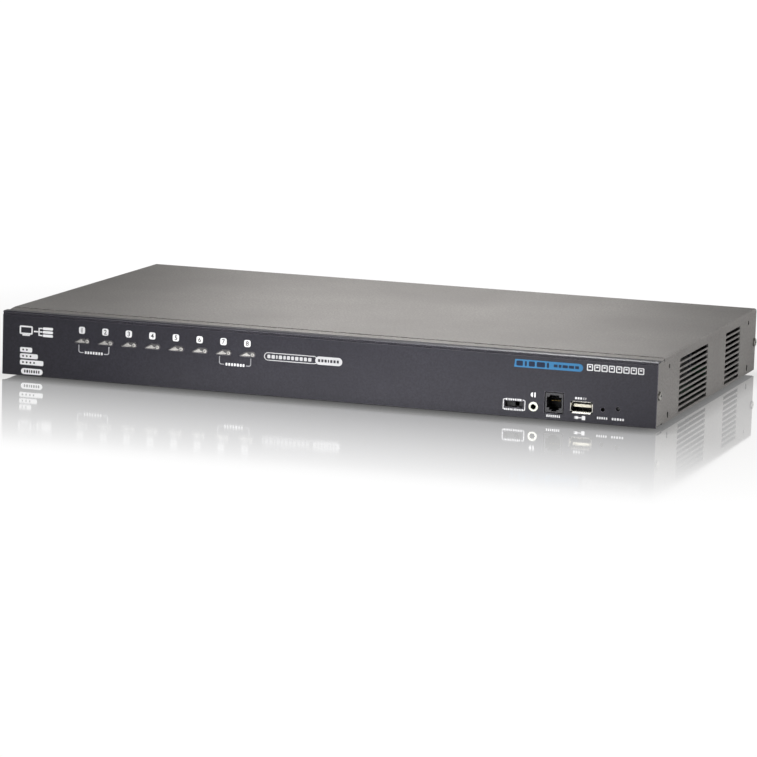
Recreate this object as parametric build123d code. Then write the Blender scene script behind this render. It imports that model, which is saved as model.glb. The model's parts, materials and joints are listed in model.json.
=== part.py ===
from build123d import *
import math
import os

# Rack-width KVM switch, one rack unit high. Millimetres.
# X runs to the right as seen from the front, Y runs to the rear, Z runs up.
# The origin is the bottom centre of the whole object's box, on the plane the feet stand on.
# "depth" is measured backwards from the bezel's front face, "height" upwards from the chassis floor.

# Overall
body_width = 437.2
body_height = 42.0
body_depth = 265.0
foot_height = 2.0
foot_inset_x = 28.0
foot_inset_depth = 32.0
sheet = 1.0
bend_radius = 1.6
cover_gap = 0.1

# Front bezel: its ends lap over the front edges of the cover's sides
bezel_thickness = 3.0
bezel_drop = 0.2
bezel_side_gap = 0.15
bezel_end_thickness = 1.0
bezel_face_top = 39.3
bezel_groove_top = 40.3
bezel_top = 41.3
bezel_groove_depth = 0.7
bezel_lip_low = 40.6
bezel_lip_reach = 7.0
bezel_lip_slope = (0.9, 0.6)
bezel_edge = 0.5
cover_start = 1.1

# Top strip of the front plate, in front of the cover's roof
strip_back = 15.7
strip_low = 40.5
strip_high = 41.5
strip_gap = 0.8
strip_tuck = 8.0
side_edge_low = 39.85
side_edge_high = 40.6

# Port buttons
port_count = 8
button_pitch = 16.2
button_first_x = -162.9
button_height = 25.6
button_length = 10.3
button_width = 3.3
button_proud = 0.8
button_gap = 0.12
button_travel = 0.5
keeper_gap = 0.15
keeper_thickness = 0.8
keeper_margin = (1.0, 0.8)
stem_radius = 1.2
stem_clearance = 0.08
stem_engagement = 0.6
board_depth = 17.0
board_thickness = 1.6
switch_height = 4.0
switch_side = 6.0
lamp_size = (2.2, 2.0, 1.6)
lamp_offset = 4.6

# Front connectors: centre x and height
slide_x = 127.45
slide_height = 7.85
slide_window = (12.0, 3.8)
slide_body = (13.4, 5.4)
knob_x = 126.8
knob_size = (2.4, 2.4)
knob_groove_width = 0.4
knob_groove_offset = 0.6
knob_travel = 2.0
knob_play = 0.15
knob_face = 0.8
carriage_depths = (6.1, 8.9)
audio_x = 139.9
audio_height = 7.25
audio_bore_radius = 1.8
audio_ring_radius = 3.0
audio_body = (6.2, 6.6)
audio_plug_length = 14.2
audio_ring_proud = 0.3
upgrade_x = 153.2
upgrade_height = 10.75
upgrade_size = (11.6, 12.5)
upgrade_gap = 0.4
usb_x = 170.9
usb_height = 9.2
usb_mouth = (14.3, 7.6)
usb_outer = (13.1, 5.7)
usb_wall = 0.3
front_usb_mouth = 0.9
reset_x = 184.5
reset_height = 9.0
reset_radius = 1.25
reset_travel = 0.4
reset_recess = 2.4
led_x = 194.2
led_height = 10.1
led_radius = 1.35
led_recess = 1.4

# Side grilles and rack-bracket holes: depths behind the bezel face
grille_spans = ((55.4, 128.6), (178.0, 218.2))
grille_rows = 10
grille_low = 3.0
grille_high = 34.9
grille_slot = 2.35
rack_depths = (28.5, 242.6)
rack_low = 4.3
rack_high = 35.0
rack_radius = 1.55
rack_slot_length = 4.4
side_screw_depths = (5.2, 261.2)
side_screw_height = 19.5

# Screws: shank radius, and the radius of the holes that take them
screw_radius = 1.5
screw_hole = 1.55
head_radius = 2.8
head_height = 1.3
post_radius = 2.6
post_hole = 1.7

# Circuit boards: extents, and where their posts stand
front_board_x = (-185.0, 212.0)
front_board_heights = (3.5, 38.5)
front_post_x = (-178.0, -10.0, 100.0, 206.0)
front_post_heights = (8.0, 34.0)
main_board_height = 6.0
main_board_top = main_board_height + board_thickness
main_board_x = (-211.0, 118.0)
main_board_depths = (72.0, 259.0)
main_post_x = (-206.0, -100.0, 0.0, 112.0)
main_post_depths = (78.0, 236.0)
power_board_x = (125.0, 211.0)
power_board_depths = (70.0, 216.0)
power_post_x = (130.0, 206.0)
power_post_depths = (76.0, 210.0)

# Rear connectors: centre x, and heights above the main board
port_pitch = 34.0
port_first_x = 48.0
hdmi_offset = 8.0
usb_b_offset = -8.5
console_hdmi_x = 106.0
console_usb_x = 86.5
console_audio_x = 71.5
console_usb_heights = (main_board_top + 3.2, main_board_top + 11.0)
console_audio_height = main_board_top + 3.3
shell_proud = 0.6
hdmi_length = 11.6
hdmi_outer = (14.9, 5.4)
hdmi_middle = main_board_top + hdmi_outer[1] / 2
usb_b_length = 16.0
usb_b_outer = (12.0, 10.9)
usb_b_middle = main_board_top + usb_b_outer[1] / 2
usb_a_length = 15.0
ground_x = 128.0
ground_height = 8.0
ground_radius = 2.0

# On the main board, and the cable that joins it to the front board
main_chip_spot = (-52.0, 150.0)
main_chip_thickness = 2.2
header_x = (-77.0, -43.0)
header_thickness = 5.0
header_tall = 5.5
header_depth = 80.0
header_height = 14.0
cable_margin = 2.0
cable_thickness = 1.0

# Mains inlet and power switch
inlet_x = 185.0
mains_height = 20.0
inlet_body = (27.0, 19.6)
inlet_flange = (30.5, 22.5)
inlet_flange_thickness = 2.0
inlet_cavity = (24.4, 16.6)
blade_size = (2.0, 4.0)
rocker_x = 152.0
rocker_body = (12.8, 19.4)
rocker_flange = (15.0, 21.0)
rocker_flange_thickness = 1.5
rocker_pivot_depth = 263.8
rocker_half_length = 8.3
rocker_rise = 3.2
rocker_valley = 2.2
rocker_tilt = 8.0
rocker_pin_radius = 1.2
rocker_width = 11.2

# Power supply parts, on the power supply board
transformer_x = (150.0, 182.0)
transformer_depths = (138.0, 166.0)
transformer_tall = 21.0
sink_depths = (120.0, 160.0)
sink_tall = 24.0
wire_landing_depth = 205.0

# How far the pieces stand out in front of the bezel and behind the rear panel
tilt = math.radians(rocker_tilt)
rocker_reach = rocker_rise * math.cos(tilt) + rocker_half_length * math.sin(tilt)
rear_proud = rocker_pivot_depth + rocker_reach - body_depth
front_y = -(body_depth + rear_proud - button_proud) / 2

half_width = body_width / 2
inner_half = half_width - sheet
frame_half = inner_half - cover_gap
floor_top = sheet


def at(depth):
    """Y of a depth behind the bezel's front face."""
    return front_y + depth


def up(height):
    """Z of a height above the underside of the chassis floor."""
    return foot_height + height


def block(x0, x1, depth0, depth1, height0, height1):
    """A box given by its extents in x, depth and height."""
    size = (x1 - x0, depth1 - depth0, height1 - height0)
    centre = ((x0 + x1) / 2, at((depth0 + depth1) / 2), up((height0 + height1) / 2))
    return Pos(*centre) * Box(*size)


def block_at(x, height, width, tall, depth0, depth1):
    """A box centred on a point of a panel, between two depths."""
    return block(x - width / 2, x + width / 2, depth0, depth1, height - tall / 2, height + tall / 2)


def rod_y(x, height, radius, depth0, depth1):
    """A cylinder along Y."""
    middle = at((depth0 + depth1) / 2)
    return Pos(x, middle, up(height)) * Rot(90, 0, 0) * Cylinder(radius, depth1 - depth0)


def rod_x(x0, x1, depth, height, radius):
    """A cylinder along X."""
    return Pos((x0 + x1) / 2, at(depth), up(height)) * Rot(0, 90, 0) * Cylinder(radius, x1 - x0)


def rod_z(x, depth, radius, height0, height1):
    """A cylinder along Z."""
    return Pos(x, at(depth), up((height0 + height1) / 2)) * Cylinder(radius, height1 - height0)


def panel_prism(sketch, x, height, depth0, depth1):
    """A flat shape drawn as (x, z) around a panel point, extruded between two depths."""
    placed = Plane.XZ.offset(-at(depth1)) * Pos(x, up(height)) * sketch
    return extrude(placed, depth1 - depth0)


def side_prism(points, x0, x1):
    """A polygon of (depth, height) points, extruded between two x positions."""
    corners = [(at(depth), up(height)) for depth, height in points]
    outline = make_face(Polyline(*corners, close=True))
    return extrude(Plane.YZ.offset(x0) * outline, x1 - x0)


def group(pieces):
    """Separate solids of the same kind, kept in one node."""
    return Compound([solid for piece in pieces for solid in piece.solids()])


def pan_screw(radius=screw_radius, length=5.0, head=head_radius, tall=head_height):
    """A pan-head screw with a cross recess: head above z = 0, shank below."""
    crown = Pos(0, 0, tall / 2) * Cylinder(head, tall)
    crown = fillet(crown.edges().filter_by(GeomType.CIRCLE).sort_by(Axis.Z)[-1], tall * 0.6)
    shank = Pos(0, 0, -length / 2) * Cylinder(radius, length)
    recess_depth = tall * 0.7
    arm_length = head * 1.1
    arm_width = head * 0.24
    arm = Pos(0, 0, tall - recess_depth / 2) * Box(arm_length, arm_width, recess_depth)
    return crown + shank - arm - Rot(0, 0, 90) * arm


def button_positions():
    """Panel x of the eight port buttons."""
    return [button_first_x + button_pitch * index for index in range(port_count)]


def port_positions():
    """Rear-panel x of the eight port sections, first port next to the console."""
    return [port_first_x - port_pitch * index for index in range(port_count)]


# ---- Sheet metal ----


def side_edge_line():
    """Outline of everything above the side's sloping front edge, up past the roof."""
    front_end = strip_back + strip_gap
    above = body_height + 5
    return [(-1, side_edge_low), (front_end, side_edge_high), (front_end, above), (-1, above)]


def grille_cutters(side):
    """Long slots of both grilles on one side of the cover."""
    x0, x1 = sorted((side * (inner_half - 1), side * (half_width + 1)))
    pitch = (grille_high - grille_low) / (grille_rows - 1)
    cutters = []
    for depth0, depth1 in grille_spans:
        for row in range(grille_rows):
            middle = grille_low + pitch * row
            cutters.append(block(x0, x1, depth0, depth1, middle - grille_slot / 2, middle + grille_slot / 2))
    return cutters


def rack_cutters(side):
    """Round upper holes and upright lower slots for the rack brackets."""
    x0, x1 = sorted((side * (inner_half - 1), side * (half_width + 1)))
    reach = (rack_slot_length - 2 * rack_radius) / 2
    cutters = []
    for depth in rack_depths:
        cutters.append(rod_x(x0, x1, depth, rack_high, rack_radius))
        for shift in (-reach, reach):
            cutters.append(rod_x(x0, x1, depth, rack_low + shift, rack_radius))
        width = rack_radius
        cutters.append(block(x0, x1, depth - width, depth + width, rack_low - reach, rack_low + reach))
    return cutters


def side_screw_cutters(side, inner, radius):
    """Holes for the two cover screws on one side."""
    x0, x1 = sorted((side * inner, side * (half_width + 1)))
    return [rod_x(x0, x1, depth, side_screw_height, radius) for depth in side_screw_depths]


def top_cover():
    """Folded steel cover: roof and both sides in one sheet."""
    hem = 0.2
    shell = block(-half_width, half_width, cover_start, body_depth, hem, body_height)
    shell -= block(-inner_half, inner_half, 0, body_depth + 1, hem - 1, body_height - sheet)
    long_edges = shell.edges().filter_by(Axis.Y).group_by(Axis.Z)
    shell = fillet(long_edges[-1], bend_radius)
    shell -= side_prism(side_edge_line(), -half_width - 1, half_width + 1)
    relief = 1.6
    front_end = strip_back + strip_gap
    foot_notch = (2.0, 15.0, 1.1)
    for side in (-1, 1):
        x0, x1 = sorted((side * (inner_half - 1), side * (half_width + 1)))
        shell -= block(x0, x1, front_end - relief, front_end, side_edge_high - relief, side_edge_high + 1)
        shell -= block(x0, x1, foot_notch[0], foot_notch[1], hem - 1, foot_notch[2])
        shell -= grille_cutters(side)
        shell -= rack_cutters(side)
        shell -= side_screw_cutters(side, inner_half - 1, screw_hole)
    return shell


def base_tray():
    """Steel floor with four upright tabs that back the rack-bracket holes."""
    tray = block(-frame_half, frame_half, bezel_thickness, body_depth, 0, floor_top)
    tab_length = 19.0
    tab_height = 39.0
    for side in (-1, 1):
        x0, x1 = sorted((side * (frame_half - sheet), side * frame_half))
        for depth in rack_depths:
            tray += block(x0, x1, depth - tab_length / 2, depth + tab_length / 2, floor_top, tab_height)
            for height in (rack_low, rack_high):
                tray -= rod_x(x0 - 1, x1 + 1, depth, height, rack_radius)
    return tray


def front_openings(margin):
    """Cutters for every piece that comes through the front, grown by a margin."""
    deep = (-2, bezel_thickness + sheet + 1)
    around = 2 * (upgrade_gap + margin)
    jack = (upgrade_size[0] + around, upgrade_size[1] + around)
    plug = (usb_mouth[0] + 2 * margin, usb_mouth[1] + 2 * margin)
    return [
        block_at(upgrade_x, upgrade_height, jack[0], jack[1], *deep),
        panel_prism(RectangleRounded(plug[0], plug[1], 0.8), usb_x, usb_height, *deep),
        rod_y(audio_x, audio_height, audio_ring_radius + margin, *deep),
        rod_y(reset_x, reset_height, reset_radius + margin, *deep),
        rod_y(led_x, led_height, led_radius + margin, *deep),
    ]


def front_post_positions():
    """x and height of the posts that hold the front board."""
    return [(x, height) for x in front_post_x for height in front_post_heights]


def front_plate():
    """Steel plate behind the bezel: it folds back under the bezel's lip and rises to the roof."""
    inner = bezel_thickness
    outer = inner + sheet
    rise_start = bezel_lip_reach + 0.1
    roof_under = body_height - sheet - 0.05
    tuck_end = strip_back + strip_tuck
    foot_end = 12.0
    plate = side_prism([(inner, floor_top), (inner, strip_low), (rise_start, strip_low),
                        (strip_back, strip_high), (strip_back, roof_under), (tuck_end, roof_under),
                        (tuck_end, roof_under - sheet), (strip_back - sheet, roof_under - sheet),
                        (rise_start, strip_low - sheet), (outer, strip_low - sheet),
                        (outer, floor_top + sheet), (foot_end, floor_top + sheet), (foot_end, floor_top)],
                       -frame_half, frame_half)
    flange_end = 14.0
    flange_top = 38.0
    corner_clearance = 0.1
    for side in (-1, 1):
        x0, x1 = sorted((side * (frame_half - 2), side * (half_width - 0.3)))
        plate += side_prism([(rise_start, strip_low - 0.2), (rise_start, strip_low),
                             (strip_back, strip_high), (strip_back, side_edge_high + corner_clearance)],
                            x0, x1)
        x0, x1 = sorted((side * (frame_half - sheet), side * frame_half))
        plate += block(x0, x1, outer, flange_end, floor_top, flange_top)
        plate -= side_screw_cutters(side, frame_half - 5, screw_hole)
    plate -= front_openings(0.4)
    plate -= block_at(slide_x, slide_height, slide_body[0] + 0.2, slide_body[1] + 0.2, 1, 6)
    for x in button_positions():
        plate -= block_at(x, button_height, button_length + 3.2, button_width + 2.6, 1, 6)
    return plate


def rear_openings():
    """Cutters in the rear panel for every connector."""
    deep = (body_depth - 2 * sheet, body_depth + sheet)
    clear = 0.3
    cutters = []
    for x in [x + hdmi_offset for x in port_positions()] + [console_hdmi_x]:
        cutters.append(block_at(x, hdmi_middle, hdmi_outer[0] + clear, hdmi_outer[1] + clear, *deep))
    for x in port_positions():
        cutters.append(block_at(x + usb_b_offset, usb_b_middle, usb_b_outer[0] + clear,
                                usb_b_outer[1] + clear, *deep))
    for height in console_usb_heights:
        cutters.append(block_at(console_usb_x, height, usb_outer[0] + clear, usb_outer[1] + clear, *deep))
    cutters.append(rod_y(console_audio_x, console_audio_height, audio_ring_radius + clear, *deep))
    cutters.append(block_at(inlet_x, mains_height, inlet_body[0] + clear, inlet_body[1] + clear, *deep))
    cutters.append(block_at(rocker_x, mains_height, rocker_body[0] + clear, rocker_body[1] + clear, *deep))
    cutters.append(rod_y(ground_x, ground_height, ground_radius + 0.05, *deep))
    return cutters


def rear_panel():
    """Steel rear wall with flanges folded forward inside the cover."""
    inner = body_depth - sheet
    top = body_height - sheet - 0.05
    top_flange = 12.0
    floor_flange = 5.0
    side_flange = 9.0
    side_flange_top = 37.0
    panel = block(-frame_half, frame_half, inner, body_depth, floor_top, top)
    panel += block(-frame_half + 3, frame_half - 3, inner - top_flange, inner, top - sheet, top)
    panel += block(-frame_half, frame_half, inner - floor_flange, inner, floor_top, floor_top + sheet)
    for side in (-1, 1):
        x0, x1 = sorted((side * (frame_half - sheet), side * frame_half))
        panel += block(x0, x1, inner - side_flange, inner, floor_top, side_flange_top)
        panel -= side_screw_cutters(side, frame_half - 5, screw_hole)
    return panel - rear_openings()


def side_screws():
    """Pan-head screws that hold the cover: two on each side."""
    screws = []
    for side in (-1, 1):
        for depth in side_screw_depths:
            place = Pos(side * half_width, at(depth), up(side_screw_height)) * Rot(0, side * 90, 0)
            screws.append(place * pan_screw(length=4.0))
    return group(screws)


def rack_nuts():
    """Round clinch nuts behind the rack-bracket holes."""
    nut_radius = 3.0
    nut_length = 3.0
    nuts = []
    for side in (-1, 1):
        x0, x1 = sorted((side * (frame_half - sheet - nut_length), side * (frame_half - sheet)))
        for depth in rack_depths:
            for height in (rack_low, rack_high):
                nut = rod_x(x0, x1, depth, height, nut_radius)
                nuts.append(nut - rod_x(x0 - 1, x1 + 1, depth, height, rack_radius))
    return group(nuts)


def rubber_feet():
    """Round stick-on feet, one near each corner."""
    foot_radius = 6.5
    feet = []
    for x in (-half_width + foot_inset_x, half_width - foot_inset_x):
        for depth in (foot_inset_depth, body_depth - foot_inset_depth):
            foot = rod_z(x, depth, foot_radius, -foot_height, 0)
            feet.append(chamfer(foot.edges().group_by(Axis.Z)[0], 0.6))
    return group(feet)


# ---- Front bezel and what comes through it ----


def lozenge(length, width):
    """Button outline: flat below, slanting up from a low point at the left, round at the right."""
    right = length / 2 - width / 2
    low = -width / 2
    nose = width * 1.25
    left = -length / 2
    outline = Polyline((right, low), (left + width * 0.1, low), (left, low + width * 0.12),
                       (left, low + width * 0.24), (left + nose, -low), (right, -low))
    end = ThreePointArc((right, -low), (right + width / 2, 0), (right, low))
    return make_face(outline + end)


def bezel_profile(back_steps):
    """Side view of the bezel: flat face, groove, top lip; back_steps closes it along the rear."""
    low = -bezel_drop
    edge = bezel_edge
    groove = bezel_groove_depth
    slope_depth, slope_rise = bezel_lip_slope
    return [(edge, low), (0, low + edge), (0, bezel_face_top - edge), (edge, bezel_face_top),
            (groove, bezel_face_top), (groove, bezel_groove_top), (0.1, bezel_groove_top),
            (0, bezel_groove_top + 0.1), (0, bezel_top - slope_rise), (slope_depth, bezel_top),
            (bezel_lip_reach, bezel_top), (bezel_lip_reach, bezel_lip_low)] + back_steps


def front_bezel():
    """Moulded fascia: it sits between the cover's sides and laps over their front edges."""
    low = -bezel_drop
    middle = bezel_profile([(bezel_thickness, bezel_lip_low), (bezel_thickness, low)])
    ends = bezel_profile([(bezel_end_thickness, bezel_lip_low), (bezel_end_thickness, low)])
    inside = inner_half - bezel_side_gap
    bezel = side_prism(middle, -inside, inside)
    bezel += side_prism(ends, -half_width, -inside)
    bezel += side_prism(ends, inside, half_width)
    bezel -= front_openings(0.1)
    bezel -= block_at(slide_x, slide_height, slide_window[0], slide_window[1], -1, bezel_thickness + 1)
    for x in button_positions():
        outline = lozenge(button_length + 2 * button_gap, button_width + 2 * button_gap)
        bezel -= panel_prism(outline, x, button_height, -1, bezel_thickness + 1)
    return bezel


def port_button(x):
    """Port button: shaped cap, a keeper flange behind the bezel and a stem to its switch."""
    keeper_front = bezel_thickness + keeper_gap
    keeper_back = keeper_front + keeper_thickness
    cap = panel_prism(lozenge(button_length, button_width), x, button_height, -button_proud, keeper_front)
    front_edges = cap.edges().group_by(Axis.Y)[0]
    cap = chamfer(front_edges, 0.35)
    keeper = block_at(x, button_height, button_length + 2 * keeper_margin[0],
                      button_width + 2 * keeper_margin[1], keeper_front, keeper_back)
    stem_end = board_depth - switch_height + stem_engagement
    return cap + keeper + rod_y(x, button_height, stem_radius, keeper_back, stem_end)


def front_board():
    """Upright circuit board behind the front plate."""
    back = board_depth + board_thickness
    board = block(*front_board_x, board_depth, back, *front_board_heights)
    for x, height in front_post_positions():
        board -= rod_y(x, height, post_hole, board_depth - 1, back + 1)
    return board


def switch_body(x, height, shaft_radius, travel):
    """Push switch on the front board, with a well that takes its plunger's travel."""
    face = board_depth - switch_height
    well_end = face + stem_engagement + travel + 0.4
    body = block_at(x, height, switch_side, switch_side, face, board_depth)
    return body - rod_y(x, height, shaft_radius + stem_clearance, face - 1, well_end)


def port_switches():
    """The push switches behind the port buttons."""
    return group([switch_body(x, button_height, stem_radius, button_travel) for x in button_positions()])


def indicator_leds():
    """Two lamps beside each port switch and one behind the power lens."""
    wide, tall, thick = lamp_size
    start = board_depth - thick
    spots = []
    for x in button_positions():
        spots += [(x - lamp_offset, button_height), (x + lamp_offset, button_height)]
    spots.append((led_x, led_height))
    return group([block_at(x, height, wide, tall, start, board_depth) for x, height in spots])


def knob_slot():
    """Centre x and width of the slot the slide knob runs in: it stands at the left end."""
    return knob_x + knob_travel / 2, knob_size[0] + knob_travel + 2 * knob_play


def slide_switch_body():
    """Housing of the slide switch: a slot in its face and a wider channel for the carriage behind it."""
    face = bezel_thickness + 0.05
    x, length = knob_slot()
    tall = knob_size[1] + 0.2
    body = block_at(slide_x, slide_height, slide_body[0], slide_body[1], face, board_depth)
    channel_start = carriage_depths[0] - 0.1
    channel_end = carriage_depths[1] + 0.1
    body -= block_at(x, slide_height, length, tall, 1, channel_end)
    return body - block_at(x, slide_height, length, tall + 1.2, channel_start, channel_end)


def slide_knob():
    """Ridged knob of the slide switch, at the left end of its slot, on a carriage inside the housing."""
    start, end = carriage_depths
    wide, tall = knob_size
    groove_end = knob_face + 0.4
    knob = block_at(knob_x, slide_height, wide, tall, knob_face, start)
    for x in (knob_x - knob_groove_offset, knob_x + knob_groove_offset):
        knob -= block_at(x, slide_height, knob_groove_width, tall + 1, knob_face - 1, groove_end)
    return knob + block_at(knob_x, slide_height, wide, tall + 1.0, start, end)


def audio_jack(x, height, mouth, board, plug_tip):
    """Body of a 3.5 mm jack: block behind the panel, with the plug's bore through it."""
    near, far = sorted((mouth, board))
    body = block_at(x, height, *audio_body, near, far)
    in_front = 2 * mouth - plug_tip
    bore_near, bore_far = sorted((in_front, plug_tip))
    return body - rod_y(x, height, audio_bore_radius, bore_near, bore_far)


def audio_ring(x, height, outside, inside):
    """Threadless metal bushing around the jack's mouth."""
    near, far = sorted((outside, inside))
    ring = rod_y(x, height, audio_ring_radius, near, far)
    ring = chamfer(ring.edges().filter_by(GeomType.CIRCLE), 0.25)
    return ring - rod_y(x, height, audio_bore_radius, near - 1, far + 1)


def front_audio_jack():
    plug_tip = audio_plug_length - audio_ring_proud
    return audio_jack(audio_x, audio_height, bezel_thickness + sheet + 0.2, board_depth, plug_tip)


def front_audio_bushing():
    return audio_ring(audio_x, audio_height, -audio_ring_proud, bezel_thickness + sheet + 0.2)


def jack_cavity():
    """Mouth of the six-way modular jack: plug window, stepped above and below."""
    window = Rectangle(9.7, 6.8)
    key = Pos(0, 3.9) * Rectangle(6.2, 1.4)
    step = Pos(0, -4.0) * Rectangle(6.4, 1.6)
    latch = Pos(0, -4.9) * Rectangle(3.4, 1.6)
    return window + key + step + latch


def upgrade_port():
    """Housing of the modular jack, flush with the bezel."""
    body = block_at(upgrade_x, upgrade_height, upgrade_size[0], upgrade_size[1], 0.15, board_depth)
    rim = body.faces().sort_by(Axis.Y)[0].edges()
    body = chamfer(rim, 0.2)
    cavity = panel_prism(jack_cavity(), upgrade_x, upgrade_height + 0.2, -1, 13)
    return body - cavity - upgrade_wires()


def upgrade_wires():
    """The six contact wires: each comes through the back wall and springs down towards the mouth."""
    pitch = 1.02
    count = 6
    thick = 0.45
    roof = 3.3
    wires = []
    for index in range(count):
        x = upgrade_x + pitch * (index - (count - 1) / 2)
        top = upgrade_height + 0.2 + roof
        back_bar = block(x - thick / 2, x + thick / 2, 11.6, board_depth, top - thick, top)
        spring = side_prism([(11.9, top), (11.9, top - thick), (4.2, top - 2.4 - thick), (4.2, top - 2.4)],
                            x - thick / 2, x + thick / 2)
        wires.append(back_bar + spring)
    return wires


def upgrade_contacts():
    return group(upgrade_wires())


def usb_a_shell(x, height, mouth, facing, flared):
    """Formed steel shell of a USB type A socket, open towards the panel."""
    length = usb_a_length
    ends = sorted((mouth, mouth + facing * length))
    inner = (usb_outer[0] - 2 * usb_wall, usb_outer[1] - 2 * usb_wall)
    shell = block_at(x, height, usb_outer[0], usb_outer[1], *ends)
    pocket = sorted((mouth - facing, mouth + facing * (length - usb_wall)))
    shell -= block_at(x, height, inner[0], inner[1], *pocket)
    if flared:
        shell += usb_flare(x, height, mouth)
    return shell


def usb_flare(x, height, mouth):
    """Four lips turned outwards around the mouth of a socket."""
    reach = 1.1
    grow_x = usb_mouth[0] - usb_outer[0]
    grow_z = usb_mouth[1] - usb_outer[1]

    def frame_sketch(depth, width, tall):
        return Plane.XZ.offset(-at(depth)) * Pos(x, up(height)) * Rectangle(width, tall)

    root = (usb_outer[0], usb_outer[1])
    outside = loft([frame_sketch(mouth, root[0], root[1]),
                    frame_sketch(mouth - reach, root[0] + grow_x, root[1] + grow_z)])
    wall = 2 * usb_wall
    inside = loft([frame_sketch(mouth, root[0] - wall, root[1] - wall),
                   frame_sketch(mouth - reach, root[0] + grow_x - wall, root[1] + grow_z - wall)])
    lips = outside - inside
    corner = 1.3
    for dx in (-1, 1):
        for dz in (-1, 1):
            lips -= block_at(x + dx * usb_mouth[0] / 2, height + dz * usb_mouth[1] / 2,
                             2 * corner, 2 * corner, mouth - reach - 1, mouth - 0.02)
    return lips


def usb_a_tongue(x, height, mouth, facing):
    """Plastic tongue and back block inside a type A socket."""
    clear = 0.05
    inner = (usb_outer[0] - 2 * usb_wall - 2 * clear, usb_outer[1] - 2 * usb_wall - 2 * clear)
    deep = usb_a_length - usb_wall - clear
    back = sorted((mouth + facing * 10.5, mouth + facing * deep))
    tongue = sorted((mouth + facing * 1.6, mouth + facing * 10.6))
    tongue_thickness = 1.85
    rise = inner[1] / 2 - tongue_thickness / 2 - 0.65
    body = block_at(x, height, inner[0], inner[1], *back)
    return body + block_at(x, height + rise, 11.1, tongue_thickness, *tongue)


def front_usb_shell():
    return usb_a_shell(usb_x, usb_height, front_usb_mouth, 1, True)


def front_usb_tongue():
    return usb_a_tongue(usb_x, usb_height, front_usb_mouth, 1)


def reset_button():
    """Recessed reset plunger, worked with a pin."""
    keeper_front = bezel_thickness + keeper_gap
    keeper_back = keeper_front + keeper_thickness
    pin = rod_y(reset_x, reset_height, reset_radius, reset_recess, keeper_front)
    keeper = rod_y(reset_x, reset_height, reset_radius + 0.3, keeper_front, keeper_back)
    stem_end = board_depth - switch_height + stem_engagement
    return pin + keeper + rod_y(reset_x, reset_height, reset_radius - 0.1, keeper_back, stem_end)


def reset_switch():
    return switch_body(reset_x, reset_height, reset_radius - 0.1, reset_travel)


def power_lens():
    """Clear light pipe from the power lamp to the bezel, domed at its tip."""
    lamp_clear = lamp_size[2] + 0.2
    pipe = rod_y(led_x, led_height, led_radius, led_recess, board_depth - lamp_clear)
    tip = pipe.edges().filter_by(GeomType.CIRCLE).sort_by(Axis.Y)[0]
    return fillet(tip, 0.6)


# ---- Main board and the rear connectors ----


def main_post_positions():
    """x and depth of the posts under the main board."""
    return [(x, depth) for x in main_post_x for depth in main_post_depths]


def power_post_positions():
    """x and depth of the posts under the power supply board."""
    return [(x, depth) for x in power_post_x for depth in power_post_depths]


def floor_board(x_range, depth_range, posts):
    """A circuit board lying on posts above the floor."""
    board = block(*x_range, *depth_range, main_board_height, main_board_top)
    for x, depth in posts:
        board -= rod_z(x, depth, post_hole, main_board_height - 1, main_board_top + 1)
    return board


def main_board():
    """Main circuit board on its posts, with the rear connectors along its back edge."""
    return floor_board(main_board_x, main_board_depths, main_post_positions())


def power_board():
    """Power supply board beside the main board."""
    return floor_board(power_board_x, power_board_depths, power_post_positions())


def board_posts():
    """Threaded posts: short ones on the floor under two boards, long ones behind the front plate."""
    posts = []
    for x, depth in main_post_positions() + power_post_positions():
        post = rod_z(x, depth, post_radius, floor_top, main_board_height)
        posts.append(post - rod_z(x, depth, screw_hole, floor_top + 0.5, main_board_height + 1))
    for x, height in front_post_positions():
        post = rod_y(x, height, post_radius, bezel_thickness + sheet, board_depth)
        posts.append(post - rod_y(x, height, screw_hole, board_depth - 8, board_depth + 1))
    return group(posts)


def board_screws():
    """Screws of all three boards."""
    screw = pan_screw(length=5.0)
    screws = []
    for x, depth in main_post_positions() + power_post_positions():
        screws.append(Pos(x, at(depth), up(main_board_top)) * screw)
    for x, height in front_post_positions():
        place = Pos(x, at(board_depth + board_thickness), up(height)) * Rot(-90, 0, 0)
        screws.append(place * screw)
    return group(screws)


def hdmi_outline(shrink):
    """Outline of an HDMI socket: lower corners cut off at a slant."""
    half = hdmi_outer[0] / 2 - shrink
    top = hdmi_outer[1] / 2 - shrink
    shoulder = -0.9
    foot = half - 1.9
    return make_face(Polyline((-half, top), (half, top), (half, shoulder), (foot, -top),
                              (-foot, -top), (-half, shoulder), close=True))


def hdmi_positions():
    """Panel x of every HDMI socket: the port row, then the console."""
    return [x + hdmi_offset for x in port_positions()] + [console_hdmi_x]


def hdmi_shells():
    """Formed steel shells of the HDMI sockets."""
    wall = 0.35
    mouth = body_depth + shell_proud
    shells = []
    for x in hdmi_positions():
        shell = panel_prism(hdmi_outline(0), x, hdmi_middle, mouth - hdmi_length, mouth)
        shell -= panel_prism(hdmi_outline(wall), x, hdmi_middle, mouth - hdmi_length + wall, mouth + 1)
        shells.append(shell)
    return group(shells)


def hdmi_tongues():
    """Contact tongue and back block inside each HDMI socket."""
    fit = 0.4
    mouth = body_depth + shell_proud
    tongues = []
    for x in hdmi_positions():
        back_end = mouth - hdmi_length + fit
        block_end = mouth - 8.0
        back_block = panel_prism(hdmi_outline(fit), x, hdmi_middle, back_end, block_end)
        tongue = block_at(x, hdmi_middle + 0.2, 10.9, 1.5, block_end - 0.1, mouth - 1.2)
        tongues.append(back_block + tongue)
    return group(tongues)


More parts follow.
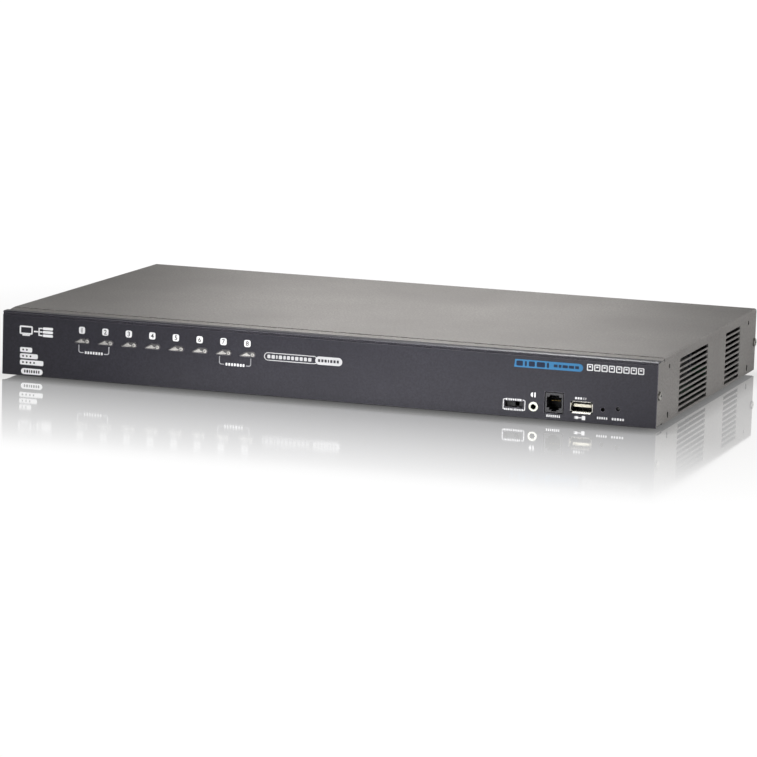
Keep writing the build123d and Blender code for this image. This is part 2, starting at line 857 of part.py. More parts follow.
def usb_b_opening(grow):
    """Mouth of a USB type B socket: square with its top corners cut off."""
    half = 8.5 / 2 + grow
    tall = 7.8 / 2 + grow
    cut = 1.7
    return make_face(Polyline((-half, -tall), (half, -tall), (half, tall - cut), (half - cut, tall),
                              (-half + cut, tall), (-half, tall - cut), close=True))


def usb_b_shells():
    """Steel cans of the USB type B sockets."""
    wall = 0.4
    mouth = body_depth + shell_proud
    shells = []
    for x in port_positions():
        middle = x + usb_b_offset
        can = block_at(middle, usb_b_middle, usb_b_outer[0], usb_b_outer[1], mouth - usb_b_length, mouth)
        can -= block_at(middle, usb_b_middle, usb_b_outer[0] - 2 * wall, usb_b_outer[1] - 2 * wall,
                        mouth - usb_b_length - 1, mouth - wall)
        shells.append(can - panel_prism(usb_b_opening(0.15), middle, usb_b_middle, mouth - 1, mouth + 1))
    return group(shells)


def usb_b_inserts():
    """Plastic bodies inside the type B sockets, each with a square cavity and a tongue."""
    fit = 0.45
    mouth = body_depth + shell_proud
    inserts = []
    for x in port_positions():
        middle = x + usb_b_offset
        body = block_at(middle, usb_b_middle, usb_b_outer[0] - 2 * fit, usb_b_outer[1] - 2 * fit,
                        mouth - usb_b_length, mouth - fit)
        body -= panel_prism(usb_b_opening(0), middle, usb_b_middle, mouth - 9.5, mouth + 1)
        body += block_at(middle, usb_b_middle, 5.6, 3.0, mouth - 9.6, mouth - 1.4)
        inserts.append(body)
    return group(inserts)


def console_usb_shells():
    """Two stacked type A sockets for keyboard and mouse."""
    mouth = body_depth + shell_proud
    return group([usb_a_shell(console_usb_x, height, mouth, -1, False) for height in console_usb_heights])


def console_usb_tongues():
    mouth = body_depth + shell_proud
    return group([usb_a_tongue(console_usb_x, height, mouth, -1) for height in console_usb_heights])


def console_usb_carrier():
    """Plastic carrier that holds the upper console socket above the lower one."""
    low, high = console_usb_heights
    gap_low = low + usb_outer[1] / 2 + 0.02
    gap_high = high - usb_outer[1] / 2 - 0.02
    half = usb_outer[0] / 2
    back_end = body_depth - usb_a_length + shell_proud
    shelf = block(console_usb_x - half, console_usb_x + half, back_end, body_depth - 2, gap_low, gap_high)
    post = block(console_usb_x - half, console_usb_x + half, back_end - 2.5, back_end - 0.02,
                 main_board_top, high + usb_outer[1] / 2)
    return shelf + post + block(console_usb_x - half, console_usb_x + half, back_end - 0.5,
                                back_end + 0.1, gap_low, gap_high)


def rear_audio_jack():
    mouth = body_depth - sheet - 0.2
    plug_tip = body_depth + shell_proud - audio_plug_length
    return audio_jack(console_audio_x, console_audio_height, mouth, mouth - 13.8, plug_tip)


def rear_audio_bushing():
    return audio_ring(console_audio_x, console_audio_height, body_depth + shell_proud,
                      body_depth - sheet - 0.2)


def switch_chips():
    """Video switch chips, one ahead of each port section."""
    half = 5.0
    depth = 214.0
    top = main_board_top + 1.0
    return group([block(x - half, x + half, depth - half, depth + half, main_board_top, top)
                  for x in port_positions()])


def main_chip():
    """The large chip in the middle of the main board."""
    x, depth = main_chip_spot
    half = 12.0
    return block(x - half, x + half, depth - half, depth + half, main_board_top,
                 main_board_top + main_chip_thickness)


def chip_heat_sink():
    """Finned heat sink on the main chip."""
    x, depth = main_chip_spot
    half = 16.0
    base_low = main_board_top + main_chip_thickness
    base_high = base_low + 2.5
    fin_top = base_high + 8.5
    fin_thickness = 1.2
    fin_count = 8
    pitch = (2 * half - fin_thickness) / (fin_count - 1)
    sink = block(x - half, x + half, depth - half, depth + half, base_low, base_high)
    for index in range(fin_count):
        start = x - half + pitch * index
        sink += block(start, start + fin_thickness, depth - half, depth + half, base_high, fin_top)
    return sink


def board_headers():
    """Ribbon cable headers on the front board and on the main board."""
    back = board_depth + board_thickness
    return group([
        block(*header_x, back, back + header_tall, header_height, header_height + header_thickness),
        block(*header_x, header_depth, header_depth + header_thickness,
              main_board_top, main_board_top + header_tall),
    ])


def front_cable():
    """Flat ribbon cable between the two headers: back, up over the main board, and down."""
    start = board_depth + board_thickness + header_tall
    low = header_height + (header_thickness - cable_thickness) / 2
    crest = 20.6
    bend = 70.0
    drop = header_depth + (header_thickness + cable_thickness) / 2
    foot = main_board_top + header_tall
    outline = [(start, low), (start, low + cable_thickness), (bend, crest + cable_thickness),
               (drop, crest + cable_thickness), (drop, foot), (drop - cable_thickness, foot),
               (drop - cable_thickness, crest), (bend, crest)]
    return side_prism(outline, header_x[0] + cable_margin, header_x[1] - cable_margin)


# ---- Power supply ----


def inlet_outline(width, tall, cut):
    """Mains inlet outline: two corners cut off."""
    half = width / 2
    high = tall / 2
    return make_face(Polyline((-half, -high), (half, -high), (half, high - cut), (half - cut, high),
                              (-half + cut, high), (-half, high - cut), close=True))


def inlet_pin_positions():
    """x, height and size of the three blades: earth above, live and neutral below."""
    return [(inlet_x, mains_height + 2.4), (inlet_x - 7.0, mains_height - 2.0),
            (inlet_x + 7.0, mains_height - 2.0)]


def inlet_pin(x, height):
    return block_at(x, height, *blade_size, body_depth - 30, body_depth - 0.5)


def mains_inlet():
    """Mains inlet housing with its flange outside the rear panel."""
    flange_end = body_depth + inlet_flange_thickness
    body = block_at(inlet_x, mains_height, inlet_body[0], inlet_body[1], body_depth - 22, body_depth)
    flange = panel_prism(RectangleRounded(inlet_flange[0], inlet_flange[1], 2.0), inlet_x, mains_height,
                         body_depth + 0.02, flange_end)
    cavity = panel_prism(inlet_outline(*inlet_cavity, 4.2), inlet_x, mains_height,
                         body_depth - 16, flange_end + 1)
    joined = body + flange + block_at(inlet_x, mains_height, inlet_body[0], inlet_body[1],
                                      body_depth - 1, body_depth + 1)
    joined -= cavity
    return joined - [inlet_pin(x, height) for x, height in inlet_pin_positions()]


def inlet_pins():
    return group([inlet_pin(x, height) for x, height in inlet_pin_positions()])


def power_switch_frame():
    """Housing of the rocker switch, with its flange outside the rear panel."""
    flange_end = body_depth + rocker_flange_thickness
    wide, tall = rocker_body
    body = block_at(rocker_x, mains_height, wide, tall, body_depth - 16, body_depth + 0.5)
    body += panel_prism(RectangleRounded(rocker_flange[0], rocker_flange[1], 1.0), rocker_x, mains_height,
                        body_depth + 0.02, flange_end)
    well = (11.5, 2 * (rocker_half_length + 0.6))
    body -= block_at(rocker_x, mains_height, well[0], well[1], body_depth - 9, flange_end + 1)
    pin_hole = rocker_pin_radius + 0.05
    reach = rocker_body[0] / 2 - 0.1
    return body - rod_x(rocker_x - reach, rocker_x + reach, rocker_pivot_depth, mains_height, pin_hole)


def power_rocker():
    """Rocker with a shallow valley across its face, rocked to the off side, with two stub pins."""
    half = rocker_half_length
    outline = [(rocker_valley, 0), (rocker_rise, half), (0.4, half - 0.5), (-4.0, 3.0),
               (-4.0, -3.0), (0.4, -half + 0.5), (rocker_rise, -half)]
    turned = []
    for outward, along in outline:
        depth = rocker_pivot_depth + outward * math.cos(tilt) + along * math.sin(tilt)
        height = mains_height + along * math.cos(tilt) - outward * math.sin(tilt)
        turned.append((depth, height))
    rocker = side_prism(turned, rocker_x - rocker_width / 2, rocker_x + rocker_width / 2)
    pin_reach = rocker_body[0] / 2 - 0.25
    return rocker + rod_x(rocker_x - pin_reach, rocker_x + pin_reach, rocker_pivot_depth,
                          mains_height, rocker_pin_radius)


def insulation_sheet():
    """Thin insulating sheet on the floor under the power supply board."""
    thick = 0.4
    margin = 1.0
    film = block(power_board_x[0] - margin, power_board_x[1] + margin, power_board_depths[0] - 4,
                 power_board_depths[1] + 4, floor_top, floor_top + thick)
    for x, depth in power_post_positions():
        film -= rod_z(x, depth, post_radius + 0.4, floor_top - 1, floor_top + 2)
    return film


def transformer_window():
    """Heights of the centre limb of the transformer's core."""
    middle = main_board_top + 1 + (transformer_tall - 1) / 2
    return middle - 3.0, middle + 3.0


def transformer_core():
    """Ferrite core: two side limbs, joined by a centre limb through the winding."""
    x0, x1 = transformer_x
    front, back = transformer_depths
    low, high = main_board_top + 1, main_board_top + transformer_tall
    limb = 5.0
    core = block(x0, x0 + limb, front, back, low, high)
    core += block(x1 - limb, x1, front, back, low, high)
    return core + block(x0 + limb - 1, x1 - limb + 1, front, back, *transformer_window())


def transformer_winding():
    """Taped winding around the centre limb."""
    x0, x1 = transformer_x
    front, back = transformer_depths
    overhang = 3.0
    limb_low, limb_high = transformer_window()
    winding = block(x0 + 6, x1 - 6, front - overhang, back + overhang, main_board_top,
                    main_board_top + transformer_tall + 0.5)
    return winding - block(x0, x1, front - 0.1, back + 0.1, limb_low - 0.1, limb_high + 0.1)


def power_capacitors():
    """Electrolytic capacitors standing on the power supply board: x, depth, radius and height of each."""
    cans = [(168, 98, 9.0, 27.0), (146, 112, 5.0, 18.0), (190, 182, 5.0, 20.0), (176, 190, 5.0, 20.0)]
    return group([rod_z(x, depth, radius, main_board_top, main_board_top + tall)
                  for x, depth, radius, tall in cans])


def power_heat_sinks():
    """Two folded aluminium heat sinks."""
    thick = 2.0
    fold = 8.0
    top = main_board_top + sink_tall
    sinks = []
    for x in (136, 196):
        fin = block(x, x + thick, *sink_depths, main_board_top, top)
        sinks.append(fin + block(x, x + fold, *sink_depths, top - thick, top))
    return group(sinks)


def wire(points, radius):
    """A round wire along a smooth curve through (x, depth, height) points."""
    path = Spline(*[(x, at(depth), up(height)) for x, depth, height in points])
    section = Plane(origin=path @ 0, z_dir=path % 0) * Circle(radius)
    return sweep(section, path=path)


def mains_wires():
    """Wires from the inlet and the rocker switch to the power supply board."""
    mains_radius = 1.1
    land_height = main_board_top + 1.3
    wires = []
    for x, height in inlet_pin_positions():
        land = inlet_x + 1 + (x - inlet_x) * 0.6
        wires.append(wire([(x, body_depth - 30.6, height), (x, 225, height - 1), (land, 212, 15),
                           (land, wire_landing_depth, land_height)], mains_radius))
    for index, shift in enumerate((-3.0, 3.0)):
        x = rocker_x + shift
        wires.append(wire([(x, body_depth - 16.5, mains_height), (x, 236, mains_height - 1),
                           (x, 214, 14), (x, wire_landing_depth - 2 * index, land_height)], mains_radius))
    return group(wires)


def output_wires():
    """Low-voltage wires from the power supply board to the main board."""
    output_radius = 0.8
    land_height = main_board_top + 1.1
    start_x = power_board_x[0] + 6
    end_x = main_board_x[1] - 6
    wires = []
    for index in range(4):
        depth = 186 + 3.0 * index
        wires.append(wire([(start_x, depth, land_height), (start_x - 5, depth, 13),
                           (end_x + 6, depth, 13.5), (end_x, depth, land_height)], output_radius))
    return group(wires)


def ground_screw():
    """Earth terminal screw on the rear panel."""
    place = Pos(ground_x, at(body_depth), up(ground_height)) * Rot(-90, 0, 0)
    return place * pan_screw(radius=ground_radius, length=8.0, head=4.0, tall=2.0)


# ---- Every node, by name ----

nodes = {
    "base_tray": base_tray(),
    "top_cover": top_cover(),
    "front_plate": front_plate(),
    "rear_panel": rear_panel(),
    "front_bezel": front_bezel(),
    "side_screws": side_screws(),
    "rack_nuts": rack_nuts(),
    "rubber_feet": rubber_feet(),
    "front_board": front_board(),
    "port_switches": port_switches(),
    "indicator_leds": indicator_leds(),
    "slide_switch_body": slide_switch_body(),
    "slide_knob": slide_knob(),
    "front_audio_jack": front_audio_jack(),
    "front_audio_bushing": front_audio_bushing(),
    "upgrade_port": upgrade_port(),
    "upgrade_contacts": upgrade_contacts(),
    "front_usb_shell": front_usb_shell(),
    "front_usb_tongue": front_usb_tongue(),
    "reset_button": reset_button(),
    "reset_switch": reset_switch(),
    "power_lens": power_lens(),
    "main_board": main_board(),
    "power_board": power_board(),
    "board_posts": board_posts(),
    "board_screws": board_screws(),
    "hdmi_shells": hdmi_shells(),
    "hdmi_tongues": hdmi_tongues(),
    "usb_b_shells": usb_b_shells(),
    "usb_b_inserts": usb_b_inserts(),
    "console_usb_shells": console_usb_shells(),
    "console_usb_tongues": console_usb_tongues(),
    "console_usb_carrier": console_usb_carrier(),
    "rear_audio_jack": rear_audio_jack(),
    "rear_audio_bushing": rear_audio_bushing(),
    "switch_chips": switch_chips(),
    "main_chip": main_chip(),
    "chip_heat_sink": chip_heat_sink(),
    "board_headers": board_headers(),
    "front_cable": front_cable(),
    "mains_inlet": mains_inlet(),
    "inlet_pins": inlet_pins(),
    "power_switch_frame": power_switch_frame(),
    "power_rocker": power_rocker(),
    "insulation_sheet": insulation_sheet(),
    "transformer_core": transformer_core(),
    "transformer_winding": transformer_winding(),
    "power_capacitors": power_capacitors(),
    "power_heat_sinks": power_heat_sinks(),
    "mains_wires": mains_wires(),
    "output_wires": output_wires(),
    "ground_screw": ground_screw(),
}
for index, x in enumerate(button_positions()):
    nodes[f"port_button_{index + 1}"] = port_button(x)

os.makedirs("parts", exist_ok=True)
for name, shape in nodes.items():
    export_step(shape, f"parts/{name}.step")
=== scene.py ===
import json
import math

import bmesh
import bpy
from mathutils import Matrix, Vector


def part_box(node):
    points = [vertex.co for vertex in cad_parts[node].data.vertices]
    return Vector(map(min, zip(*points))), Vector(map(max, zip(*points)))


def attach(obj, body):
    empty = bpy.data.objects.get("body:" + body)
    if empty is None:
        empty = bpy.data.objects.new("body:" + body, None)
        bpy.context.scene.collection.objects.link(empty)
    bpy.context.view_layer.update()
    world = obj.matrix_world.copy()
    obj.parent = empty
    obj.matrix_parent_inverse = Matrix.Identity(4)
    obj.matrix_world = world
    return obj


# Looks of a rack-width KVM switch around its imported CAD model.
# Metres: X to the right seen from the front, Y to the rear, Z up. Prints are drawn in millimetres.

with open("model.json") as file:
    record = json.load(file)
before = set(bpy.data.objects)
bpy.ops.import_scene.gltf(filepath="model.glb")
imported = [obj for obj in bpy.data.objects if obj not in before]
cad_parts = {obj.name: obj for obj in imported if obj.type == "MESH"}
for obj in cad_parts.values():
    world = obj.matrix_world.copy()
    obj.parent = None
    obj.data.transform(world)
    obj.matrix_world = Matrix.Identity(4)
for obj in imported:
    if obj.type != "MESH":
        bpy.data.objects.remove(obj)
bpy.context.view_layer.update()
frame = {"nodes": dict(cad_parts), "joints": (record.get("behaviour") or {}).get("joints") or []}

MM = 0.001
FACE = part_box("front_bezel")[0].y
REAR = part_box("rear_panel")[1].y
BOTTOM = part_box("base_tray")[0].z
HALF_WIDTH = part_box("top_cover")[1].x
PORT_COUNT = 8


# ---- Material tools ----


def new_material(name):
    """A material with its node tree and its Principled shader."""
    material = bpy.data.materials.new(name)
    material.use_nodes = True
    tree = material.node_tree
    return material, tree, tree.nodes["Principled BSDF"]


def add(tree, kind, **settings):
    """Add a node and set its plain properties."""
    node = tree.nodes.new(kind)
    for key, value in settings.items():
        setattr(node, key, value)
    return node


def object_space(tree, stretch=(1, 1, 1)):
    """Object coordinates in metres, stretched along each axis."""
    source = add(tree, "ShaderNodeTexCoord")
    mapping = add(tree, "ShaderNodeMapping")
    mapping.inputs["Scale"].default_value = stretch
    tree.links.new(source.outputs["Object"], mapping.inputs["Vector"])
    return mapping.outputs["Vector"]


def noise(tree, vector, grain_mm, detail=3.0, rough=0.55):
    """Noise whose grains are about grain_mm across."""
    node = add(tree, "ShaderNodeTexNoise")
    node.inputs["Scale"].default_value = 1.0 / (grain_mm * MM)
    node.inputs["Detail"].default_value = detail
    node.inputs["Roughness"].default_value = rough
    tree.links.new(vector, node.inputs["Vector"])
    return node.outputs["Fac"]


def spread(tree, value, low, high, from_low=0.3, from_high=0.7):
    """Map a value from one range to another; by default the range most noise falls in."""
    node = add(tree, "ShaderNodeMapRange")
    node.inputs["From Min"].default_value = from_low
    node.inputs["From Max"].default_value = from_high
    node.inputs["To Min"].default_value = low
    node.inputs["To Max"].default_value = high
    tree.links.new(value, node.inputs["Value"])
    return node.outputs["Result"]


def mix_colour(tree, factor, first, second, blend="MIX"):
    """Mix two colours; each is a colour or a socket, and so is the factor."""
    node = add(tree, "ShaderNodeMix", data_type="RGBA", blend_type=blend)
    for socket, value in ((node.inputs[0], factor), (node.inputs[6], first), (node.inputs[7], second)):
        if isinstance(value, bpy.types.NodeSocket):
            tree.links.new(value, socket)
        elif isinstance(value, (int, float)):
            socket.default_value = value
        else:
            socket.default_value = (*value, 1.0)
    return node.outputs[2]


def bump(tree, shader, height, depth_mm):
    """Bump a shader's normal; calls add up."""
    node = add(tree, "ShaderNodeBump")
    node.inputs["Strength"].default_value = 1.0
    node.inputs["Distance"].default_value = depth_mm * MM
    tree.links.new(height, node.inputs["Height"])
    normal = shader.inputs["Normal"]
    if normal.links:
        tree.links.new(normal.links[0].from_socket, node.inputs["Normal"])
    tree.links.new(node.outputs["Normal"], normal)


def edge_mask(tree, width_mm):
    """Mask that is 1 on sharp edges and 0 on flats."""
    flat, sharp = 0.98, 0.8
    rounded = add(tree, "ShaderNodeBevel", samples=4)
    rounded.inputs["Radius"].default_value = width_mm * MM
    geometry = add(tree, "ShaderNodeNewGeometry")
    dot = add(tree, "ShaderNodeVectorMath", operation="DOT_PRODUCT")
    tree.links.new(rounded.outputs["Normal"], dot.inputs[0])
    tree.links.new(geometry.outputs["Normal"], dot.inputs[1])
    return spread(tree, dot.outputs["Value"], 1.0, 0.0, sharp, flat)


# Painted shade from ambient occlusion: wide inside the case, narrow in seams and holes.
CASE_SHADE = {"reach_mm": 40, "darkest": 0.03, "closed": 0.22, "open": 0.46}
SEAM_SHADE = {"reach_mm": 2.5, "darkest": 0.15, "closed": 0.28, "open": 0.72}


def recess_shade(tree, tinted):
    """Painted shade: darken a colour inside the case and in holes and seams, where little light reaches."""
    for kind in (CASE_SHADE, SEAM_SHADE):
        hidden = add(tree, "ShaderNodeAmbientOcclusion", samples=6)
        hidden.inputs["Distance"].default_value = kind["reach_mm"] * MM
        shade = spread(tree, hidden.outputs["AO"], kind["darkest"], 1.0, kind["closed"], kind["open"])
        grey = add(tree, "ShaderNodeCombineColor")
        for channel in ("Red", "Green", "Blue"):
            tree.links.new(shade, grey.inputs[channel])
        tinted = mix_colour(tree, 1.0, tinted, grey.outputs["Color"], "MULTIPLY")
    return tinted


PATCH_SHADE = 0.86
BASE_IOR = 1.46


def surface(name, colour, other, grain_mm, fine_mm, bump_mm, rough, metal=0.0, stretch=(1, 1, 1),
            wear_and_highlight=None, wear_and_highlight_mm=0.4, patch_mm=60.0, coat=0.0):
    """A grained surface: two colours in grains, wide darker patches, uneven gloss, bump, and edges
    lightened as wear and as a painted highlight.
    """
    material, tree, shader = new_material(name)
    space = object_space(tree, stretch)
    grain = noise(tree, space, grain_mm)
    fine = noise(tree, space, fine_mm, 2.0, 0.7)
    patches = noise(tree, object_space(tree), patch_mm, 2.0, 0.5)
    tinted = mix_colour(tree, spread(tree, grain, 0.0, 1.0), colour, other)
    shade = tuple(PATCH_SHADE * channel for channel in colour)
    tinted = mix_colour(tree, spread(tree, patches, 0.0, 0.35), tinted, shade)
    # Lighter edges: partly wear, partly a painted highlight where edges catch the light.
    if wear_and_highlight:
        mask = edge_mask(tree, wear_and_highlight_mm)
        tinted = mix_colour(tree, mask, tinted, wear_and_highlight)
    tree.links.new(recess_shade(tree, tinted), shader.inputs["Base Color"])
    tree.links.new(spread(tree, grain, rough[0], rough[1]), shader.inputs["Roughness"])
    shader.inputs["Metallic"].default_value = metal
    shader.inputs["IOR"].default_value = BASE_IOR
    shader.inputs["Coat Weight"].default_value = coat
    shader.inputs["Coat Roughness"].default_value = 0.2
    bump(tree, shader, fine, bump_mm)
    bump(tree, shader, grain, bump_mm * 1.5)
    return material


def paint():
    """Warm grey powder coat with a sandy texture, a little lighter on its edges from wear and a painted
    highlight.
    """
    return surface("powder_coat", (0.180, 0.171, 0.163), (0.400, 0.381, 0.366),
                   grain_mm=1.3, fine_mm=0.5, bump_mm=0.06, rough=(0.42, 0.62), wear_and_highlight=(0.44, 0.43, 0.42),
                   wear_and_highlight_mm=0.4, patch_mm=90.0)


def bezel_plastic():
    """Dark charcoal fascia with a fine spark-eroded grain, and a painted highlight on its edges."""
    return surface("bezel_plastic", (0.0145, 0.0138, 0.0195), (0.0265, 0.0252, 0.0345),
                   grain_mm=1.1, fine_mm=0.35, bump_mm=0.012, rough=(0.32, 0.46),
                   wear_and_highlight=(0.20, 0.19, 0.22), wear_and_highlight_mm=0.4, patch_mm=40.0)


def nickel():
    """Plated connector steel with faint drawing marks."""
    return surface("nickel_plate", (0.80, 0.78, 0.72), (0.62, 0.60, 0.55),
                   grain_mm=1.4, fine_mm=0.25, bump_mm=0.006, rough=(0.16, 0.34), metal=1.0,
                   stretch=(1, 0.12, 1), wear_and_highlight=(0.92, 0.90, 0.86), wear_and_highlight_mm=0.12)


def zinc():
    """Zinc-plated screw steel, slightly yellow in patches."""
    return surface("zinc_plate", (0.66, 0.65, 0.62), (0.50, 0.48, 0.44),
                   grain_mm=0.8, fine_mm=0.2, bump_mm=0.008, rough=(0.22, 0.42), metal=1.0,
                   wear_and_highlight=(0.85, 0.84, 0.81), wear_and_highlight_mm=0.15)


def black_moulding():
    """Glass-filled black connector plastic."""
    return surface("black_moulding", (0.012, 0.012, 0.013), (0.030, 0.030, 0.031),
                   grain_mm=0.7, fine_mm=0.22, bump_mm=0.008, rough=(0.38, 0.58),
                   wear_and_highlight=(0.075, 0.075, 0.078), wear_and_highlight_mm=0.2)


def ivory():
    """Ivory socket plastic."""
    return surface("ivory_moulding", (0.74, 0.70, 0.56), (0.82, 0.79, 0.66),
                   grain_mm=1.5, fine_mm=0.3, bump_mm=0.005, rough=(0.30, 0.45), wear_and_highlight=(0.9, 0.88, 0.8),
                   wear_and_highlight_mm=0.15)


def bushing():
    """Pale satin bushing of the audio sockets."""
    return surface("pale_bushing", (0.76, 0.77, 0.66), (0.64, 0.65, 0.55),
                   grain_mm=0.6, fine_mm=0.2, bump_mm=0.006, rough=(0.25, 0.4), wear_and_highlight=(0.92, 0.92, 0.86),
                   wear_and_highlight_mm=0.15)


def smoky_button():
    """Dark translucent button cap around its two light windows."""
    return surface("smoky_button", (0.060, 0.058, 0.060), (0.095, 0.092, 0.094),
                   grain_mm=0.8, fine_mm=0.25, bump_mm=0.006, rough=(0.22, 0.38),
                   wear_and_highlight=(0.22, 0.215, 0.21), wear_and_highlight_mm=0.2, coat=0.3)


def lens():
    """Milky grey light window, with a painted highlight on its edges."""
    return surface("light_window", (0.30, 0.29, 0.28), (0.44, 0.43, 0.41),
                   grain_mm=0.6, fine_mm=0.2, bump_mm=0.004, rough=(0.12, 0.24),
                   wear_and_highlight=(0.74, 0.73, 0.70), wear_and_highlight_mm=0.3, coat=0.6)


def lens_ring():
    """Darker eye in the middle of a light window."""
    return surface("window_eye", (0.16, 0.155, 0.15), (0.24, 0.23, 0.22),
                   grain_mm=0.4, fine_mm=0.2, bump_mm=0.004, rough=(0.12, 0.25), coat=0.5)


def dark_lens():
    """Unlit lamp window, nearly black."""
    return surface("dark_window", (0.020, 0.020, 0.022), (0.035, 0.035, 0.038),
                   grain_mm=0.5, fine_mm=0.2, bump_mm=0.003, rough=(0.30, 0.42), coat=0.1)


def housing_plastic():
    """Charcoal connector housings, a shade lighter than the fascia around them."""
    return surface("housing_plastic", (0.034, 0.033, 0.036), (0.055, 0.054, 0.058),
                   grain_mm=0.8, fine_mm=0.25, bump_mm=0.010, rough=(0.36, 0.52),
                   wear_and_highlight=(0.11, 0.11, 0.115), wear_and_highlight_mm=0.2)


def deep_black():
    """Matt black plunger at the bottom of its hole; its near-black colour also paints in the shade there.
    """
    return surface("deep_black", (0.004, 0.004, 0.004), (0.008, 0.008, 0.008),
                   grain_mm=0.5, fine_mm=0.2, bump_mm=0.006, rough=(0.6, 0.8))


def rubber():
    """Black rubber, grey on its edges: wear where it rubs, and a painted highlight."""
    return surface("foot_rubber", (0.018, 0.018, 0.018), (0.034, 0.033, 0.032),
                   grain_mm=0.8, fine_mm=0.25, bump_mm=0.03, rough=(0.70, 0.90),
                   wear_and_highlight=(0.06, 0.06, 0.06), wear_and_highlight_mm=0.4)


def gold():
    """Dull gold flash on contact wires."""
    return surface("gold_flash", (0.36, 0.25, 0.09), (0.28, 0.19, 0.07),
                   grain_mm=0.5, fine_mm=0.2, bump_mm=0.004, rough=(0.35, 0.5), metal=1.0)


def aluminium():
    """Extruded aluminium with drawing marks."""
    return surface("sink_aluminium", (0.70, 0.70, 0.71), (0.58, 0.58, 0.59),
                   grain_mm=1.0, fine_mm=0.2, bump_mm=0.008, rough=(0.28, 0.46), metal=1.0,
                   stretch=(1, 0.08, 1), wear_and_highlight=(0.86, 0.86, 0.87), wear_and_highlight_mm=0.2)


def chip_resin():
    """Fine sandy chip moulding compound."""
    return surface("chip_resin", (0.020, 0.020, 0.021), (0.036, 0.036, 0.037),
                   grain_mm=0.3, fine_mm=0.12, bump_mm=0.01, rough=(0.55, 0.72),
                   wear_and_highlight=(0.07, 0.07, 0.07), wear_and_highlight_mm=0.15)


def ferrite():
    """Sintered ferrite."""
    return surface("ferrite", (0.045, 0.045, 0.048), (0.075, 0.075, 0.080),
                   grain_mm=0.5, fine_mm=0.2, bump_mm=0.02, rough=(0.50, 0.70), wear_and_highlight=(0.15, 0.15, 0.16),
                   wear_and_highlight_mm=0.3)


def film():
    """Thin translucent polyester sheet."""
    return surface("insulating_film", (0.46, 0.46, 0.43), (0.56, 0.56, 0.52),
                   grain_mm=8.0, fine_mm=1.0, bump_mm=0.01, rough=(0.28, 0.40), coat=0.3)


def lamp_resin():
    """Milky lamp resin."""
    return surface("lamp_resin", (0.78, 0.76, 0.66), (0.86, 0.85, 0.78),
                   grain_mm=0.4, fine_mm=0.15, bump_mm=0.004, rough=(0.2, 0.35))


def wire_vinyl():
    """Smooth dark wire insulation."""
    return surface("wire_vinyl", (0.022, 0.022, 0.025), (0.045, 0.045, 0.05),
                   grain_mm=2.0, fine_mm=0.3, bump_mm=0.01, rough=(0.30, 0.45), coat=0.2)


def bands(tree, vector, direction, scale, distortion=0.0):
    """Wave bands along one axis."""
    wave = add(tree, "ShaderNodeTexWave", wave_type="BANDS", bands_direction=direction)
    wave.inputs["Scale"].default_value = scale
    wave.inputs["Distortion"].default_value = distortion
    tree.links.new(vector, wave.inputs["Vector"])
    return wave.outputs["Fac"]


def sleeve():
    """Shrink sleeve of the capacitors, with pale stripes from top to bottom."""
    material, tree, shader = new_material("capacitor_sleeve")
    space = object_space(tree)
    grain = noise(tree, space, 2.0)
    stripe = spread(tree, bands(tree, space, "X", 55.0), 0.0, 1.0, 0.93, 0.96)
    base = mix_colour(tree, grain, (0.018, 0.022, 0.045), (0.028, 0.034, 0.065))
    tree.links.new(mix_colour(tree, stripe, base, (0.5, 0.5, 0.48)), shader.inputs["Base Color"])
    tree.links.new(spread(tree, grain, 0.2, 0.36), shader.inputs["Roughness"])
    bump(tree, shader, grain, 0.01)
    return material


def tape():
    """Yellow winding tape: overlapping bands."""
    material, tree, shader = new_material("winding_tape")
    space = object_space(tree)
    turns = bands(tree, space, "Z", 60.0, 0.6)
    tinted = mix_colour(tree, turns, (0.62, 0.42, 0.05), (0.78, 0.56, 0.10))
    tree.links.new(tinted, shader.inputs["Base Color"])
    tree.links.new(spread(tree, noise(tree, space, 3.0), 0.18, 0.34), shader.inputs["Roughness"])
    bump(tree, shader, turns, 0.05)
    return material


def ribbon():
    """Grey ribbon cable with ridges along its conductors."""
    conductor_pitch_mm = 1.27
    material, tree, shader = new_material("ribbon_vinyl")
    space = object_space(tree)
    ridges = bands(tree, space, "X", 1.0 / (conductor_pitch_mm * MM) / 3.14)
    tinted = mix_colour(tree, ridges, (0.26, 0.26, 0.27), (0.42, 0.42, 0.43))
    tree.links.new(tinted, shader.inputs["Base Color"])
    tree.links.new(spread(tree, noise(tree, space, 2.0), 0.35, 0.5), shader.inputs["Roughness"])
    bump(tree, shader, ridges, 0.25)
    return material


def circuit_board():
    """Green solder mask with darker copper areas and tracks under it."""
    material, tree, shader = new_material("circuit_board")
    space = object_space(tree)
    cells = add(tree, "ShaderNodeTexVoronoi", feature="DISTANCE_TO_EDGE")
    cells.inputs["Scale"].default_value = 260.0
    tree.links.new(space, cells.inputs["Vector"])
    bricks = add(tree, "ShaderNodeTexBrick")
    bricks.inputs["Scale"].default_value = 180.0
    bricks.inputs["Mortar Size"].default_value = 0.04
    tree.links.new(space, bricks.inputs["Vector"])
    tracks = spread(tree, cells.outputs["Distance"], 1.0, 0.0, 0.02, 0.06)
    mask = mix_colour(tree, tracks, (0.010, 0.085, 0.030), (0.025, 0.17, 0.06))
    mask = mix_colour(tree, 0.25, mask, bricks.outputs["Color"], "MULTIPLY")
    tree.links.new(mask, shader.inputs["Base Color"])
    tree.links.new(spread(tree, noise(tree, space, 3.0), 0.22, 0.38), shader.inputs["Roughness"])
    bump(tree, shader, tracks, 0.03)
    return material


